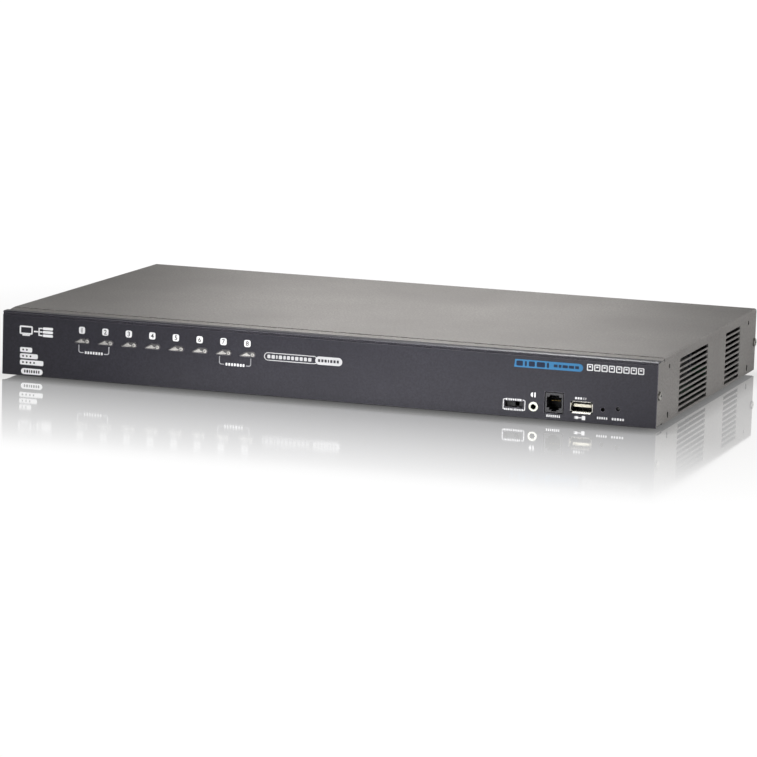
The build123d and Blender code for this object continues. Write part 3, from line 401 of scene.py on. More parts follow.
def ink(name, colour):
    """Screen print: slightly uneven cover, with a faint mesh pattern."""
    material, tree, shader = new_material(name)
    space = object_space(tree)
    cover = noise(tree, space, 0.35, 2.0, 0.6)
    blotch = noise(tree, space, 4.0, 2.0, 0.5)
    thin = tuple(0.82 * channel for channel in colour)
    tinted = mix_colour(tree, spread(tree, cover, 0.0, 0.6), colour, thin)
    tinted = mix_colour(tree, spread(tree, blotch, 0.0, 0.3), tinted, thin)
    tree.links.new(tinted, shader.inputs["Base Color"])
    tree.links.new(spread(tree, cover, 0.45, 0.7), shader.inputs["Roughness"])
    bump(tree, shader, cover, 0.006)
    return material


PAINT = paint()
BEZEL = bezel_plastic()
NICKEL = nickel()
ZINC = zinc()
BLACK = black_moulding()
IVORY = ivory()
BUSHING = bushing()
BUTTON = smoky_button()
LENS = lens()
EYE = lens_ring()
DARK_LENS = dark_lens()
HOUSING = housing_plastic()
BOARD = circuit_board()
# Pale inks are toned down where the low front light is strong, so that small marks stay clear.
WHITE_INK = ink("white_ink", (0.93, 0.93, 0.94))
BADGE_INK = ink("badge_ink", (0.76, 0.76, 0.77))
LABEL_INK = ink("label_ink", (0.64, 0.64, 0.65))
PILL_INK = ink("pill_ink", (0.46, 0.46, 0.47))
PALE_GREY_INK = ink("pale_grey_ink", (0.50, 0.50, 0.53))
GREY_INK = ink("grey_ink", (0.27, 0.27, 0.285))
DARK_INK = ink("dark_ink", (0.018, 0.017, 0.022))
BLUE_INK = ink("blue_ink", (0.026, 0.150, 0.31))
NAVY_INK = ink("navy_ink", (0.004, 0.012, 0.035))

NODE_MATERIALS = {
    "base_tray": PAINT, "top_cover": PAINT, "front_plate": PAINT, "rear_panel": PAINT,
    "front_bezel": BEZEL, "side_screws": ZINC, "rack_nuts": ZINC, "rubber_feet": rubber(),
    "front_board": BOARD, "main_board": BOARD, "power_board": BOARD,
    "port_switches": BLACK, "indicator_leds": lamp_resin(), "slide_switch_body": HOUSING,
    "slide_knob": BLACK,
    "front_audio_jack": BLACK, "front_audio_bushing": BUSHING, "upgrade_port": HOUSING,
    "upgrade_contacts": gold(), "front_usb_shell": NICKEL, "front_usb_tongue": IVORY,
    "reset_button": deep_black(), "reset_switch": BLACK, "power_lens": DARK_LENS,
    "board_posts": ZINC, "board_screws": ZINC, "hdmi_shells": NICKEL, "hdmi_tongues": BLACK,
    "usb_b_shells": NICKEL, "usb_b_inserts": IVORY, "console_usb_shells": NICKEL,
    "console_usb_tongues": IVORY, "console_usb_carrier": BLACK, "rear_audio_jack": BLACK,
    "rear_audio_bushing": BUSHING, "switch_chips": chip_resin(), "main_chip": chip_resin(),
    "chip_heat_sink": aluminium(), "board_headers": BLACK, "front_cable": ribbon(),
    "mains_inlet": BLACK, "inlet_pins": NICKEL, "power_switch_frame": BLACK, "power_rocker": BLACK,
    "insulation_sheet": film(), "transformer_core": ferrite(), "transformer_winding": tape(),
    "power_capacitors": sleeve(), "power_heat_sinks": aluminium(), "mains_wires": wire_vinyl(),
    "output_wires": wire_vinyl(), "ground_screw": ZINC,
}


def dress_cad_nodes():
    """Give every CAD node its finish."""
    for name, node in frame["nodes"].items():
        material = BUTTON if name.startswith("port_button_") else NODE_MATERIALS[name]
        node.data.materials.clear()
        node.data.materials.append(material)


dress_cad_nodes()


# ---- Print and relief on the panels ----


class Panel:
    """A flat face of the case. Shapes are drawn on it in millimetres, as (right, up) from its own zero."""

    def __init__(self, origin, right, out):
        self.origin = Vector(origin)
        self.right = Vector(right)
        self.out = Vector(out).normalized()
        self.up = self.out.cross(self.right)

    def point(self, across, up, proud):
        return self.origin + (self.right * across + self.up * up + self.out * proud) * MM


FRONT = Panel((0, FACE, BOTTOM), (1, 0, 0), (0, -1, 0))
BACK = Panel((0, REAR, BOTTOM), (-1, 0, 0), (0, 1, 0))


def rounded(cx, cy, width, height, radius, steps=5):
    """Loop of a rectangle with rounded corners."""
    loop = []
    radius = min(radius, width / 2, height / 2)
    for quarter, (sx, sy) in enumerate(((1, 1), (-1, 1), (-1, -1), (1, -1))):
        corner_x = cx + sx * (width / 2 - radius)
        corner_y = cy + sy * (height / 2 - radius)
        for step in range(steps + 1):
            angle = math.radians(90 * quarter + 90 * step / steps)
            loop.append((corner_x + radius * math.cos(angle), corner_y + radius * math.sin(angle)))
    return loop


def disc(cx, cy, radius, count=24):
    """Loop of a circle."""
    return [(cx + radius * math.cos(math.tau * i / count), cy + radius * math.sin(math.tau * i / count))
            for i in range(count)]


def arc(cx, cy, radius, start, end, count=8):
    """Points along an arc, angles in degrees."""
    angles = [math.radians(start + (end - start) * i / count) for i in range(count + 1)]
    return [(cx + radius * math.cos(a), cy + radius * math.sin(a)) for a in angles]


def stroke(points, width):
    """Loop around an open line of the given width."""
    left, right = [], []
    last = len(points) - 1
    for i, (x, y) in enumerate(points):
        before = Vector(points[max(i - 1, 0)])
        after = Vector(points[min(i + 1, last)])
        along = (after - before).normalized()
        normal = Vector((-along.y, along.x)) * width / 2
        left.append((x + normal.x, y + normal.y))
        right.append((x - normal.x, y - normal.y))
    return right + left[::-1]


# Bottom and top of the print over its panel in millimetres: first layer, and layer on top of it.
PRINT = (-0.01, 0.05)
OVERPRINT = (0.045, 0.075)
# Shares of a figure's height (font size, outline weight) and of a dash's height (gap, corner).
SIZE_TO_HEIGHT = 1.38
FIGURE_WEIGHT = 0.018
DASH_GAP = 0.36
DASH_CORNER = 0.18


def extrude_loops(mesh, panel, outer, inner, low, high):
    """Close one outline, with an optional hole of as many points, into a thin solid."""
    def ring(loop, proud):
        return [mesh.verts.new(panel.point(x, y, proud)) for x, y in loop]
    outer_low, outer_high = ring(outer, low), ring(outer, high)
    count = len(outer)

    def wall(first, second):
        for i in range(count):
            j = (i + 1) % count
            mesh.faces.new((first[i], first[j], second[j], second[i]))
    wall(outer_low, outer_high)
    if inner is None:
        mesh.faces.new(outer_high)
        mesh.faces.new(outer_low[::-1])
        return
    inner_low, inner_high = ring(inner, low), ring(inner, high)
    wall(inner_high, inner_low)
    wall(outer_high, inner_high)
    wall(inner_low, outer_low)


def place(name, mesh, body, material):
    """Turn a bmesh into a named piece that rides on a body."""
    bmesh.ops.recalc_face_normals(mesh, faces=mesh.faces)
    data = bpy.data.meshes.new(name)
    mesh.to_mesh(data)
    mesh.free()
    piece = bpy.data.objects.new(name, data)
    bpy.context.scene.collection.objects.link(piece)
    data.materials.append(material)
    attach(piece, body)
    return piece


def print_on(panel, name, shapes, material, low=PRINT[0], high=PRINT[1], body="chassis",
             slot="bezel_plastic"):
    """Print a list of outlines; an outline is a loop, or a pair (loop, hole)."""
    mesh = bmesh.new()
    for shape in shapes:
        outer, inner = shape if isinstance(shape, tuple) else (shape, None)
        extrude_loops(mesh, panel, outer, inner, low, high)
    place(name, mesh, body, material)


def numeral(panel, name, text, across, up, tall):
    """A dark figure in the built-in typeface, centred on a point of a panel, printed over a badge."""
    low, high = OVERPRINT
    curve = bpy.data.curves.new(name + "_text", "FONT")
    curve.body = text
    curve.align_x = "CENTER"
    curve.align_y = "CENTER"
    curve.size = tall * SIZE_TO_HEIGHT
    curve.extrude = (high - low) / 2
    curve.offset = tall * FIGURE_WEIGHT
    curve.resolution_u = 3
    holder = bpy.data.objects.new(name + "_text", curve)
    bpy.context.scene.collection.objects.link(holder)
    bpy.context.view_layer.update()
    evaluated = holder.evaluated_get(bpy.context.evaluated_depsgraph_get())
    flat = bpy.data.meshes.new_from_object(evaluated)
    middle = (low + high) / 2
    mesh = bmesh.new()
    mesh.from_mesh(flat)
    centre_x = (min(v.co.x for v in mesh.verts) + max(v.co.x for v in mesh.verts)) / 2
    centre_y = (min(v.co.y for v in mesh.verts) + max(v.co.y for v in mesh.verts)) / 2
    for vertex in mesh.verts:
        x, y, z = vertex.co
        vertex.co = panel.point(across + x - centre_x, up + y - centre_y, middle + z)
    bmesh.ops.remove_doubles(mesh, verts=mesh.verts, dist=0.001 * MM)
    bpy.data.objects.remove(holder)
    bpy.data.curves.remove(curve)
    bpy.data.meshes.remove(flat)
    place(name, mesh, "chassis", DARK_INK)


def dashes(left, right, middle, tall, pattern):
    """A row of small blocks that stands in for a word; pattern gives the blocks' relative widths."""
    gap = tall * DASH_GAP
    unit = (right - left - gap * (len(pattern) - 1)) / sum(pattern)
    loops = []
    x = left
    for share in pattern:
        width = unit * share
        loops.append(rounded(x + width / 2, middle, width, tall, tall * DASH_CORNER, 2))
        x += width + gap
    return loops


def spot(node):
    """A CAD node's centre on the front, in millimetres from the front panel's zero."""
    low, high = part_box(node)
    return (low.x + high.x) / 2 / MM, ((low.z + high.z) / 2 - BOTTOM) / MM


PORTS = [spot(f"port_button_{number}") for number in range(1, PORT_COUNT + 1)]
# A port badge's place from its button, and the rocker's valley from its hinge, in millimetres.
BADGE_RISE = 6.85
BADGE_SHIFT = -0.4
ROCKER_VALLEY = 2.2


def port_badges():
    """White rounded badges with dark numerals above the port buttons."""
    wide, tall, corner = 4.3, 4.5, 1.2
    figure = 3.1
    badges = [rounded(x + BADGE_SHIFT, z + BADGE_RISE, wide, tall, corner) for x, z in PORTS]
    print_on(FRONT, "port_badges", badges, BADGE_INK)
    for number, (x, z) in enumerate(PORTS, 1):
        numeral(FRONT, f"badge_numeral_{number}", str(number), x + BADGE_SHIFT, z + BADGE_RISE, figure)


def bracket(left, right, name, line_ink, word_ink):
    """Thin bracket under two buttons, with a gap for a row of dashes."""
    top, low, radius = 23.0, 18.0, 1.3
    line, arm, gap = 0.55, 3.2, 1.0
    first = [(left, top), (left, low + radius)] + arc(left + radius, low + radius, radius, 180, 270, 5)
    first.append((left + arm, low))
    second = [(left + right - x, y) for x, y in first]
    print_on(FRONT, name, [stroke(first, line), stroke(second, line)], line_ink)
    word = dashes(left + arm + gap, right - arm - gap, low + 0.15, 1.8, (1, 1, 1, 1, 1.2, 1, 1))
    print_on(FRONT, name + "_dashes", word, word_ink)


def legend_pill():
    """Two-part pill: an outlined half and a solid half, each with a row of dashes."""
    left, right, split = -38.4, 14.0, -4.8
    middle, tall = 25.3, 5.2
    line, tuck, gap = 0.5, 2.4, 0.8
    wide = split - left + tuck
    centre = (left + split + tuck) / 2
    outline = rounded(centre, middle, wide, tall, tall / 2, 8)
    hole = rounded(centre, middle, wide - 2 * line, tall - 2 * line, tall / 2 - line, 8)
    print_on(FRONT, "legend_outline", [(outline, hole)], PILL_INK)
    print_on(FRONT, "legend_outline_dashes",
             dashes(left + 2.2, split - 1.8, middle, 2.3, (1, 1.1, 0.5, 1.1, 0.8, 1, 0.9, 1.1, 1, 1, 1.1)),
             PILL_INK)
    solid = rounded((split + gap + right) / 2, middle, right - split - gap, tall, tall / 2, 8)
    print_on(FRONT, "legend_solid", [solid], PILL_INK, high=0.055)
    print_on(FRONT, "legend_solid_dashes",
             dashes(split + 2.6, right - 2.2, middle, 1.9, (1, 1, 1, 0.6, 1, 1, 1)), DARK_INK, 0.05, 0.08)


def blue_pill():
    """Blue pill at the upper right: square at the left, round at the right."""
    left, right, middle, tall = 126.6, 170.9, 33.9, 4.9
    lean = 0.6
    half = tall / 2
    loop = [(left, middle - half), (left + lean, middle + half), (right - half, middle + half)]
    loop += arc(right - half, middle, half, 90, -90, 10)[1:]
    print_on(FRONT, "blue_pill", [loop[::-1]], BLUE_INK)
    blocks = dashes(left + 1.4, left + 22.5, middle, 3.2, (1.5, 0.5, 1.4, 1.9, 0.5))
    print_on(FRONT, "blue_pill_blocks", blocks, NAVY_INK, *OVERPRINT)
    small = dashes(left + 25.5, right - 2.6, middle, 1.8, (0.8, 0.6, 1.1, 1.1, 0.8))
    print_on(FRONT, "blue_pill_dashes", small, NAVY_INK, *OVERPRINT)


def port_row_mark():
    """Eight framed sockets in a row: a plain mark for eight ports."""
    left, right, middle, tall = 173.0, 210.2, 34.7, 4.2
    pitch = (right - left) / PORT_COUNT
    width = pitch * 0.84
    line = 0.65
    sockets = []
    for index in range(PORT_COUNT):
        x = left + pitch * (index + 0.5)
        hole = rounded(x, middle, width - 2 * line, tall - 2 * line, 0.3, 4)
        sockets.append((rounded(x, middle, width, tall, 0.6, 4), hole))
        sockets.append(rounded(x, middle + 0.4, width - 2.5, 0.9, 0.15, 2))
    print_on(FRONT, "port_row_mark", sockets, LABEL_INK)


def console_mark():
    """Plain pictogram at the upper left: one screen wired to a column of boxes."""
    left, low = -206.8, 26.0
    screen_x, screen_z, wide, tall, rim = left + 4.6, low + 3.7, 9.2, 5.6, 1.0
    trunk_x, boxes_x, line = left + 13.6, left + 19.8, 0.9
    glass = rounded(screen_x, screen_z, wide - 2 * rim, tall - 2 * rim, 0.4, 4)
    shapes = [(rounded(screen_x, screen_z, wide, tall, 0.9, 4), glass)]
    shapes.append(rounded(screen_x, low + 0.4, 5.4, 0.9, 0.4, 3))
    shapes.append(stroke([(left + 10.0, low + 3.2), (trunk_x, low + 3.2)], line))
    shapes.append(stroke([(trunk_x, low + 0.6), (trunk_x, low + 5.8)], line))
    for rise in (0.9, 3.2, 5.5):
        shapes.append(stroke([(trunk_x + 0.4, low + rise), (trunk_x + 2.4, low + rise)], 0.8))
        shapes.append(rounded(boxes_x, low + rise, 7.0, 1.7, 0.5, 3))
    print_on(FRONT, "console_mark", shapes, WHITE_INK)


def stack_mark():
    """Plain pictogram at the lower left: three units of growing width, with a small pill under them."""
    left, low, pitch, tall = -206.3, 8.6, 4.1, 3.2
    dot_pitch, dot_radius, width_a_dot = 2.6, 0.62, 3.4
    shapes = []
    dots = []
    for index, width in enumerate((16.5, 12.5, 8.5)):
        middle = low + pitch * index
        shapes.append(rounded(left + width / 2, middle, width, tall, 0.9, 4))
        dots += [disc(left + 2.2 + dot_pitch * i, middle, dot_radius, 12)
                 for i in range(int(width // width_a_dot))]
    print_on(FRONT, "stack_mark", shapes, WHITE_INK)
    print_on(FRONT, "stack_mark_dots", dots, DARK_INK, OVERPRINT[0], 0.07)
    pill_x, pill_z, pill_wide, pill_tall = -197.8, 2.8, 15.2, 3.9
    word = dashes(pill_x - 5.4, pill_x + 5.4, pill_z, 1.9, (1, 1.2, 0.7, 1, 1.1, 0.9, 1))
    pill = rounded(pill_x, pill_z, pill_wide, pill_tall, pill_tall / 2, 8)
    print_on(FRONT, "small_pill", [pill], WHITE_INK)
    print_on(FRONT, "small_pill_dashes", word, DARK_INK, OVERPRINT[0], 0.07)


def slide_switch_print():
    """Frame around the slide switch, broken by two rows of dashes."""
    x, z = spot("slide_switch_body")
    z -= 0.2
    half_w, half_h, line, word_tall = 7.0, 3.15, 0.45, 1.3
    sides = []
    for sign in (-1, 1):
        corner = [(x + sign * (half_w - 1.6), z + half_h), (x + sign * (half_w - 0.5), z + half_h),
                  (x + sign * half_w, z + half_h - 0.5), (x + sign * half_w, z - half_h),
                  (x + sign * (half_w - 0.8), z - half_h)]
        for first, second in zip(corner, corner[1:]):
            sides.append(stroke([first, second], line))
    print_on(FRONT, "slide_switch_frame", sides, LABEL_INK)
    top = dashes(x - 5.3, x + 4.6, z + half_h, word_tall, (1, 0.6, 1, 1, 1, 1, 0.8, 1, 1))
    low = dashes(x - 6.1, x - 0.9, z - half_h, word_tall, (1, 1, 1, 0.8, 1))
    low += dashes(x - 0.1, x + 6.0, z - half_h, word_tall, (1, 1, 0.8, 1, 1, 1))
    print_on(FRONT, "slide_switch_dashes", top + low, LABEL_INK)


def speaker_print():
    """Speaker sign above the audio jack."""
    x, z = spot("front_audio_bushing")
    x -= 0.35
    z += 7.5
    cone = arc(x - 0.1, z, 1.5, 90, 270, 8)
    bar = rounded(x + 1.2, z, 0.95, 3.1, 0.2, 2)
    print_on(FRONT, "speaker_sign", [cone, bar], LABEL_INK)


def socket_labels():
    """Rows of dashes at the jack, the USB socket, the reset button and the lamp, and a plug sign."""
    jack_x = spot("upgrade_port")[0]
    usb_x = spot("front_usb_shell")[0]
    lamp_x = spot("power_lens")[0]
    reset_x = spot("reset_button")[0]
    over_usb, under_holes = 14.9, 3.65
    loops = dashes(jack_x - 4.6, jack_x + 4.0, 2.4, 1.6, (1, 1, 1, 1, 1, 1, 0.9))
    loops += dashes(usb_x - 4.3, usb_x + 0.1, over_usb, 1.4, (1, 1, 1))
    loops += dashes(usb_x + 1.0, usb_x + 2.7, over_usb, 1.4, (1, 0.4, 1))
    loops += dashes(reset_x - 3.5, reset_x + 3.1, under_holes, 1.5, (1, 1, 1, 1, 1))
    loops += dashes(lamp_x - 3.7, lamp_x + 4.0, under_holes, 1.5, (1, 1, 1.2, 1, 1))
    print_on(FRONT, "socket_labels", loops, LABEL_INK)
    z = 2.8
    plug = [rounded(usb_x - 2.9, z, 1.9, 1.7, 0.3, 3), rounded(usb_x + 1.5, z, 2.2, 2.6, 0.4, 3),
            stroke([(usb_x - 2.0, z), (usb_x + 0.5, z)], 0.55),
            stroke([(usb_x - 3.8, z + 0.45), (usb_x - 4.5, z + 0.45)], 0.4),
            stroke([(usb_x - 3.8, z - 0.45), (usb_x - 4.5, z - 0.45)], 0.4)]
    print_on(FRONT, "plug_sign", plug, LABEL_INK)


def button_windows():
    """Light windows on each port button: a wedge with a bright foot at the left and a bulb at the right."""
    for number, (x, z) in enumerate(PORTS, 1):
        node = f"port_button_{number}"
        front = (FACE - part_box(node)[0].y) / MM
        wedge = [(x - 4.4, z - 1.1), (x - 3.3, z - 0.55), (x - 2.3, z + 0.15), (x - 1.4, z + 0.7),
                 (x - 0.7, z + 0.95), (x, z + 0.9), (x + 0.2, z + 0.35), (x + 1.1, z - 0.1),
                 (x + 2.0, z - 0.4), (x + 2.0, z - 0.9), (x - 1.3, z - 1.25)]
        dome(f"button_wedge_{number}", wedge[::-1], node, front, 0.28)
        dome(f"button_bulb_{number}", disc(x + 3.5, z - 0.1, 1.25, 20), node, front, 0.4)
        print_on(FRONT, f"button_eye_{number}", [disc(x + 3.55, z - 0.15, 0.5, 14)], EYE,
                 front + 0.3, front + 0.42, node, "button_plastic")


def dome(name, loop, body, front, rise):
    """Low dome over an outline: rings shrink towards the middle as they rise."""
    sunk = 0.05
    mesh = bmesh.new()
    centre_x = sum(x for x, _ in loop) / len(loop)
    centre_y = sum(y for _, y in loop) / len(loop)
    rings = []
    steps = 5
    for step in range(steps):
        turn = math.pi / 2 * step / steps
        share, height = math.cos(turn), math.sin(turn) * rise
        rings.append([mesh.verts.new(FRONT.point(centre_x + (x - centre_x) * share,
                                                 centre_y + (y - centre_y) * share,
                                                 front - sunk + height)) for x, y in loop])
    tip = mesh.verts.new(FRONT.point(centre_x, centre_y, front - sunk + rise))
    count = len(loop)
    for low, high in zip(rings, rings[1:]):
        for i in range(count):
            j = (i + 1) % count
            mesh.faces.new((low[i], low[j], high[j], high[i]))
    for i in range(count):
        mesh.faces.new((rings[-1][i], rings[-1][(i + 1) % count], tip))
    mesh.faces.new(rings[0][::-1])
    piece = place(name, mesh, body, LENS)
    for polygon in piece.data.polygons:
        polygon.use_smooth = True


def rear_sections():
    """Middles of the rear port sections, in millimetres from the back panel's zero."""
    socket_wide, socket_to_middle = 12.0, 8.25
    low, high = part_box("usb_b_shells")
    pitch = ((high.x - low.x) / MM - socket_wide) / (PORT_COUNT - 1)
    first = high.x / MM - socket_wide / 2 + socket_to_middle
    return [pitch * number - first for number in range(PORT_COUNT)]


def rear_print():
    """Numbered badges over the rear port sections, and frames around them."""
    badge_z, frame_z = 31.0, 14.6
    wide, tall, corner, line = 31.5, 24.0, 2.0, 0.4
    badges = []
    frames = []
    for number, x in enumerate(rear_sections(), 1):
        badges.append(rounded(x, badge_z, 6.2, 6.0, 1.5))
        hole = rounded(x, frame_z, wide - 2 * line, tall - 2 * line, corner - line)
        frames.append((rounded(x, frame_z, wide, tall, corner), hole))
        numeral(BACK, f"rear_numeral_{number}", str(number), x, badge_z, 4.0)
    print_on(BACK, "rear_badges", badges, WHITE_INK, slot="painted_steel")
    print_on(BACK, "rear_frames", frames, WHITE_INK, slot="painted_steel")


def rocker_signs():
    """On and off signs on the power rocker: a bar on its upper face and a ring on its lower face."""
    sign_reach = 4.7
    low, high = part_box("power_rocker")
    hinge = next(joint for joint in frame["joints"] if joint["name"] == "rock_power_switch")
    pivot = Vector(hinge["pos_m"])
    upper_tip = Vector((pivot.x, high.y, high.z))
    reach = (upper_tip - pivot).length
    lower_tip = Vector((pivot.x, pivot.y + math.sqrt(reach ** 2 - (low.z - pivot.z) ** 2), low.z))
    outward = ((upper_tip + lower_tip) / 2 - pivot).normalized()
    valley = pivot + outward * ROCKER_VALLEY * MM
    right = Vector((-1, 0, 0))
    upper = Panel(valley, right, right.cross(upper_tip - valley))
    lower = Panel(valley, right, right.cross(valley - lower_tip))
    bar = rounded(0, sign_reach, 0.9, 4.2, 0.3, 3)
    ring = (disc(0, -sign_reach, 2.1), disc(0, -sign_reach, 1.35))
    print_on(upper, "rocker_on_sign", [bar], WHITE_INK, body="rocker", slot="black_plastic")
    print_on(lower, "rocker_off_sign", [ring], WHITE_INK, body="rocker", slot="black_plastic")


port_badges()
bracket(-165.2, -144.4, "bracket_left", PALE_GREY_INK, BADGE_INK)
bracket(-68.5, -47.3, "bracket_right", GREY_INK, LABEL_INK)
legend_pill()
blue_pill()
port_row_mark()
console_mark()
stack_mark()
slide_switch_print()
speaker_print()
socket_labels()
button_windows()
rear_print()
rocker_signs()


# ---- Stage, light and camera ----

AMBIENT = 0.07

CENTRE = Vector((0, (FACE + REAR) / 2, BOTTOM))


def reach_from_case(tree, inset_mm=0.0):
    """Distance on the floor from the case's footprint, made smaller all round by inset_mm."""
    source = add(tree, "ShaderNodeTexCoord")
    shift = add(tree, "ShaderNodeVectorMath", operation="SUBTRACT")
    shift.inputs[1].default_value = (0, (FACE + REAR) / 2, 0)
    fold = add(tree, "ShaderNodeVectorMath", operation="ABSOLUTE")
    inset = add(tree, "ShaderNodeVectorMath", operation="SUBTRACT")
    smaller = inset_mm * MM
    inset.inputs[1].default_value = (HALF_WIDTH - smaller, (REAR - FACE) / 2 - smaller, 1)
    clip = add(tree, "ShaderNodeVectorMath", operation="MAXIMUM")
    clip.inputs[1].default_value = (0, 0, 0)
    length = add(tree, "ShaderNodeVectorMath", operation="LENGTH")
    tree.links.new(source.outputs["Object"], shift.inputs[0])
    tree.links.new(shift.outputs[0], fold.inputs[0])
    tree.links.new(fold.outputs[0], inset.inputs[0])
    tree.links.new(inset.outputs[0], clip.inputs[0])
    tree.links.new(clip.outputs[0], length.inputs[0])
    return length.outputs["Value"]


def floor_material():
    """White studio floor: plain to light, but the camera sees a glow with a mirror patch at the case.

    The glow dims in a thin line where the case stands, a painted contact shadow, and the mirror fades and
    blurs with distance.
    """
    contact_inset_mm, contact_width = 13.0, 0.032
    contact_glow, open_glow = 0.25, 1.02
    mirror_reach, mirror_share = 0.26, 0.68
    blur_reach, sharpest, softest = 0.25, 0.015, 0.12
    material, tree, shader = new_material("stage_white")
    tinted = mix_colour(tree, noise(tree, object_space(tree), 40.0), (0.84, 0.84, 0.84), (0.88, 0.88, 0.88))
    tree.links.new(tinted, shader.inputs["Base Color"])
    shader.inputs["Roughness"].default_value = 0.4
    reach = reach_from_case(tree)
    glow = add(tree, "ShaderNodeEmission")
    glow.inputs["Color"].default_value = (1, 1, 1, 1)
    # Painted contact shadow: the glow dims near the case's footprint.
    contact = reach_from_case(tree, contact_inset_mm)
    strength = spread(tree, contact, contact_glow, open_glow, 0.0, contact_width)
    tree.links.new(strength, glow.inputs["Strength"])
    mirror = add(tree, "ShaderNodeBsdfGlossy")
    mirror.inputs["Color"].default_value = (0.98, 0.98, 0.98, 1)
    tree.links.new(spread(tree, reach, sharpest, softest, 0.0, blur_reach), mirror.inputs["Roughness"])
    slant = add(tree, "ShaderNodeLayerWeight")
    slant.inputs["Blend"].default_value = 0.5
    share = add(tree, "ShaderNodeMath", operation="MULTIPLY")
    tree.links.new(spread(tree, reach, mirror_share, 0.0, 0.0, mirror_reach), share.inputs[0])
    tree.links.new(spread(tree, slant.outputs["Facing"], 0.0, 1.0, 0.2, 0.84), share.inputs[1])
    seen = add(tree, "ShaderNodeMixShader")
    tree.links.new(share.outputs[0], seen.inputs[0])
    tree.links.new(glow.outputs[0], seen.inputs[1])
    tree.links.new(mirror.outputs[0], seen.inputs[2])
    path = add(tree, "ShaderNodeLightPath")
    choose = add(tree, "ShaderNodeMixShader")
    tree.links.new(path.outputs["Is Camera Ray"], choose.inputs[0])
    tree.links.new(shader.outputs[0], choose.inputs[1])
    tree.links.new(seen.outputs[0], choose.inputs[2])
    tree.links.new(choose.outputs[0], tree.nodes["Material Output"].inputs["Surface"])
    return material


def floor():
    """One large flat sheet under the feet."""
    mesh = bmesh.new()
    reach = 30.0
    corners = ((-reach, -reach), (reach, -reach), (reach, reach), (-reach, reach))
    mesh.faces.new([mesh.verts.new((x, y, 0)) for x, y in corners])
    data = bpy.data.meshes.new("stage_floor")
    mesh.to_mesh(data)
    mesh.free()
    sheet = bpy.data.objects.new("stage_floor", data)
    bpy.context.scene.collection.objects.link(sheet)
    data.materials.append(floor_material())


def area_light(name, position, target, width, height, power, mirrored=False):
    """Flat lamp aimed at a point; only a mirrored one shows in reflections."""
    data = bpy.data.lights.new(name, "AREA")
    data.shape = "RECTANGLE"
    data.size = width
    data.size_y = height
    data.energy = power
    lamp = bpy.data.objects.new(name, data)
    lamp.location = position
    lamp.rotation_euler = (Vector(target) - Vector(position)).to_track_quat("-Z", "Y").to_euler()
    lamp.visible_camera = False
    lamp.visible_glossy = mirrored
    bpy.context.scene.collection.objects.link(lamp)


def pool_light(name, position, power, cone, turn, stretch):
    """Spot lamp pointing straight down with a soft edge: an oval pool of light, long along the view."""
    data = bpy.data.lights.new(name, "SPOT")
    data.energy = power
    data.spot_size = math.radians(cone)
    data.spot_blend = 1.0
    data.shadow_soft_size = 0.05
    lamp = bpy.data.objects.new(name, data)
    lamp.location = position
    lamp.rotation_euler = (0, 0, math.radians(turn))
    lamp.scale = (1.0, stretch, 1.0)
    lamp.visible_camera = False
    bpy.context.scene.collection.objects.link(lamp)


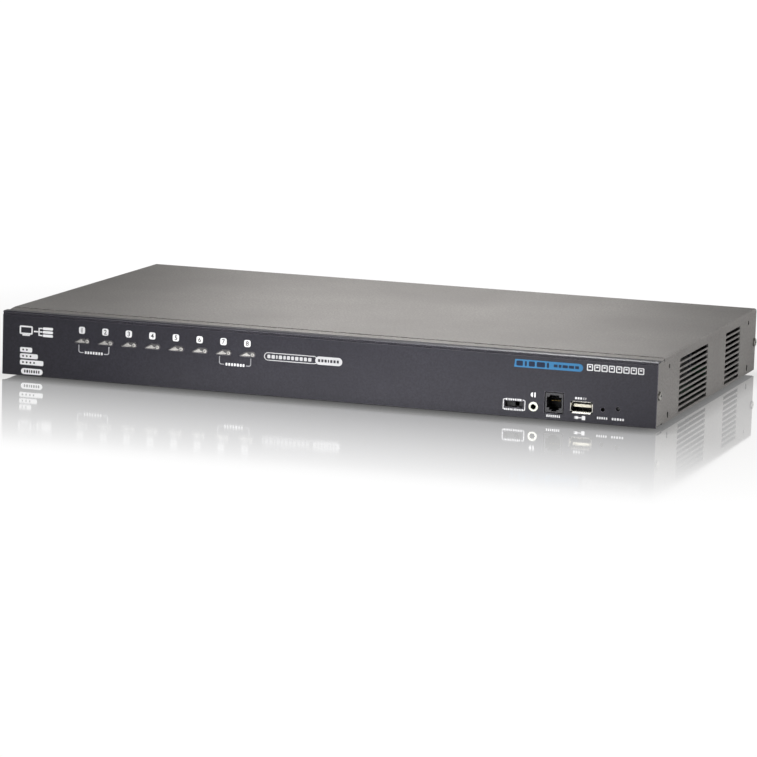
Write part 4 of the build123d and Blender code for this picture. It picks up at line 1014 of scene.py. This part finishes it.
def sky():
    """White to the camera; in reflections a pale band near the horizon; a faint light for the rest."""
    band, band_low, band_high = 0.85, 0.20, 0.36
    world = bpy.data.worlds.new("studio")
    world.use_nodes = True
    tree = world.node_tree
    tree.nodes.clear()
    output = add(tree, "ShaderNodeOutputWorld")
    path = add(tree, "ShaderNodeLightPath")
    source = add(tree, "ShaderNodeTexCoord")
    climb = add(tree, "ShaderNodeSeparateXYZ")
    tree.links.new(source.outputs["Generated"], climb.inputs[0])
    backdrop = spread(tree, climb.outputs["Z"], band, AMBIENT, band_low, band_high)
    strength = add(tree, "ShaderNodeMix")
    tree.links.new(path.outputs["Is Glossy Ray"], strength.inputs[0])
    strength.inputs[2].default_value = AMBIENT
    tree.links.new(backdrop, strength.inputs[3])
    light = add(tree, "ShaderNodeBackground")
    light.inputs["Color"].default_value = (1.0, 0.99, 0.98, 1)
    tree.links.new(strength.outputs[0], light.inputs["Strength"])
    seen = add(tree, "ShaderNodeBackground")
    seen.inputs["Color"].default_value = (1, 1, 1, 1)
    seen.inputs["Strength"].default_value = 1.05
    choose = add(tree, "ShaderNodeMixShader")
    tree.links.new(path.outputs["Is Camera Ray"], choose.inputs[0])
    tree.links.new(light.outputs[0], choose.inputs[1])
    tree.links.new(seen.outputs[0], choose.inputs[2])
    tree.links.new(choose.outputs[0], output.inputs["Surface"])
    bpy.context.scene.world = world


def camera():
    """Long lens, a little above the case and to its right, rolled slightly."""
    azimuth, elevation, roll = math.radians(18.19), math.radians(8.966), math.radians(1.771)
    distance, slide_x, slide_y = 2.622, -5.11 * MM, -4.57 * MM
    sensor_mm, lens_mm = 36.0, 188.05
    back = Vector((math.sin(azimuth) * math.cos(elevation), -math.cos(azimuth) * math.cos(elevation),
                   math.sin(elevation)))
    level = Vector((math.cos(azimuth), math.sin(azimuth), 0))
    above = back.cross(level)
    right = level * math.cos(roll) + above * math.sin(roll)
    up = above * math.cos(roll) - level * math.sin(roll)
    data = bpy.data.cameras.new("camera")
    data.sensor_width = sensor_mm
    data.lens = lens_mm
    data.clip_end = 100.0
    holder = bpy.data.objects.new("camera", data)
    place_at = CENTRE + right * slide_x + up * slide_y + back * distance
    rotation = Matrix((right, up, back)).transposed().to_4x4()
    holder.matrix_world = Matrix.Translation(place_at) @ rotation
    bpy.context.scene.collection.objects.link(holder)
    bpy.context.scene.camera = holder


floor()
sky()
pool_light("roof_pool", (0.005, 0.06, 0.75), power=18.5, cone=35.0, turn=18.0, stretch=4.2)
area_light("edge_strip", (-0.04, -0.19, 0.60), (-0.04, -0.13, 0.0), 0.40, 0.12, power=0.9, mirrored=True)
area_light("side_key", (1.6, -0.30, 0.45), (0.2, 0, 0.02), 0.8, 0.8, power=10.5)
area_light("front_low", (0.05, -0.56, 0.15), (0.05, -0.13, 0.02), 0.30, 0.18, power=1.95)
area_light("front_bounce", (0.02, FACE - 0.036, 0.012), (0.02, FACE, 0.012), 0.30, 0.02, power=0.043)
area_light("rear_fill", (0.3, 1.3, 0.40), (0.0, 0.13, 0.02), 0.8, 0.4, power=4.0)
camera()
bpy.context.scene.view_settings.view_transform = "Standard"
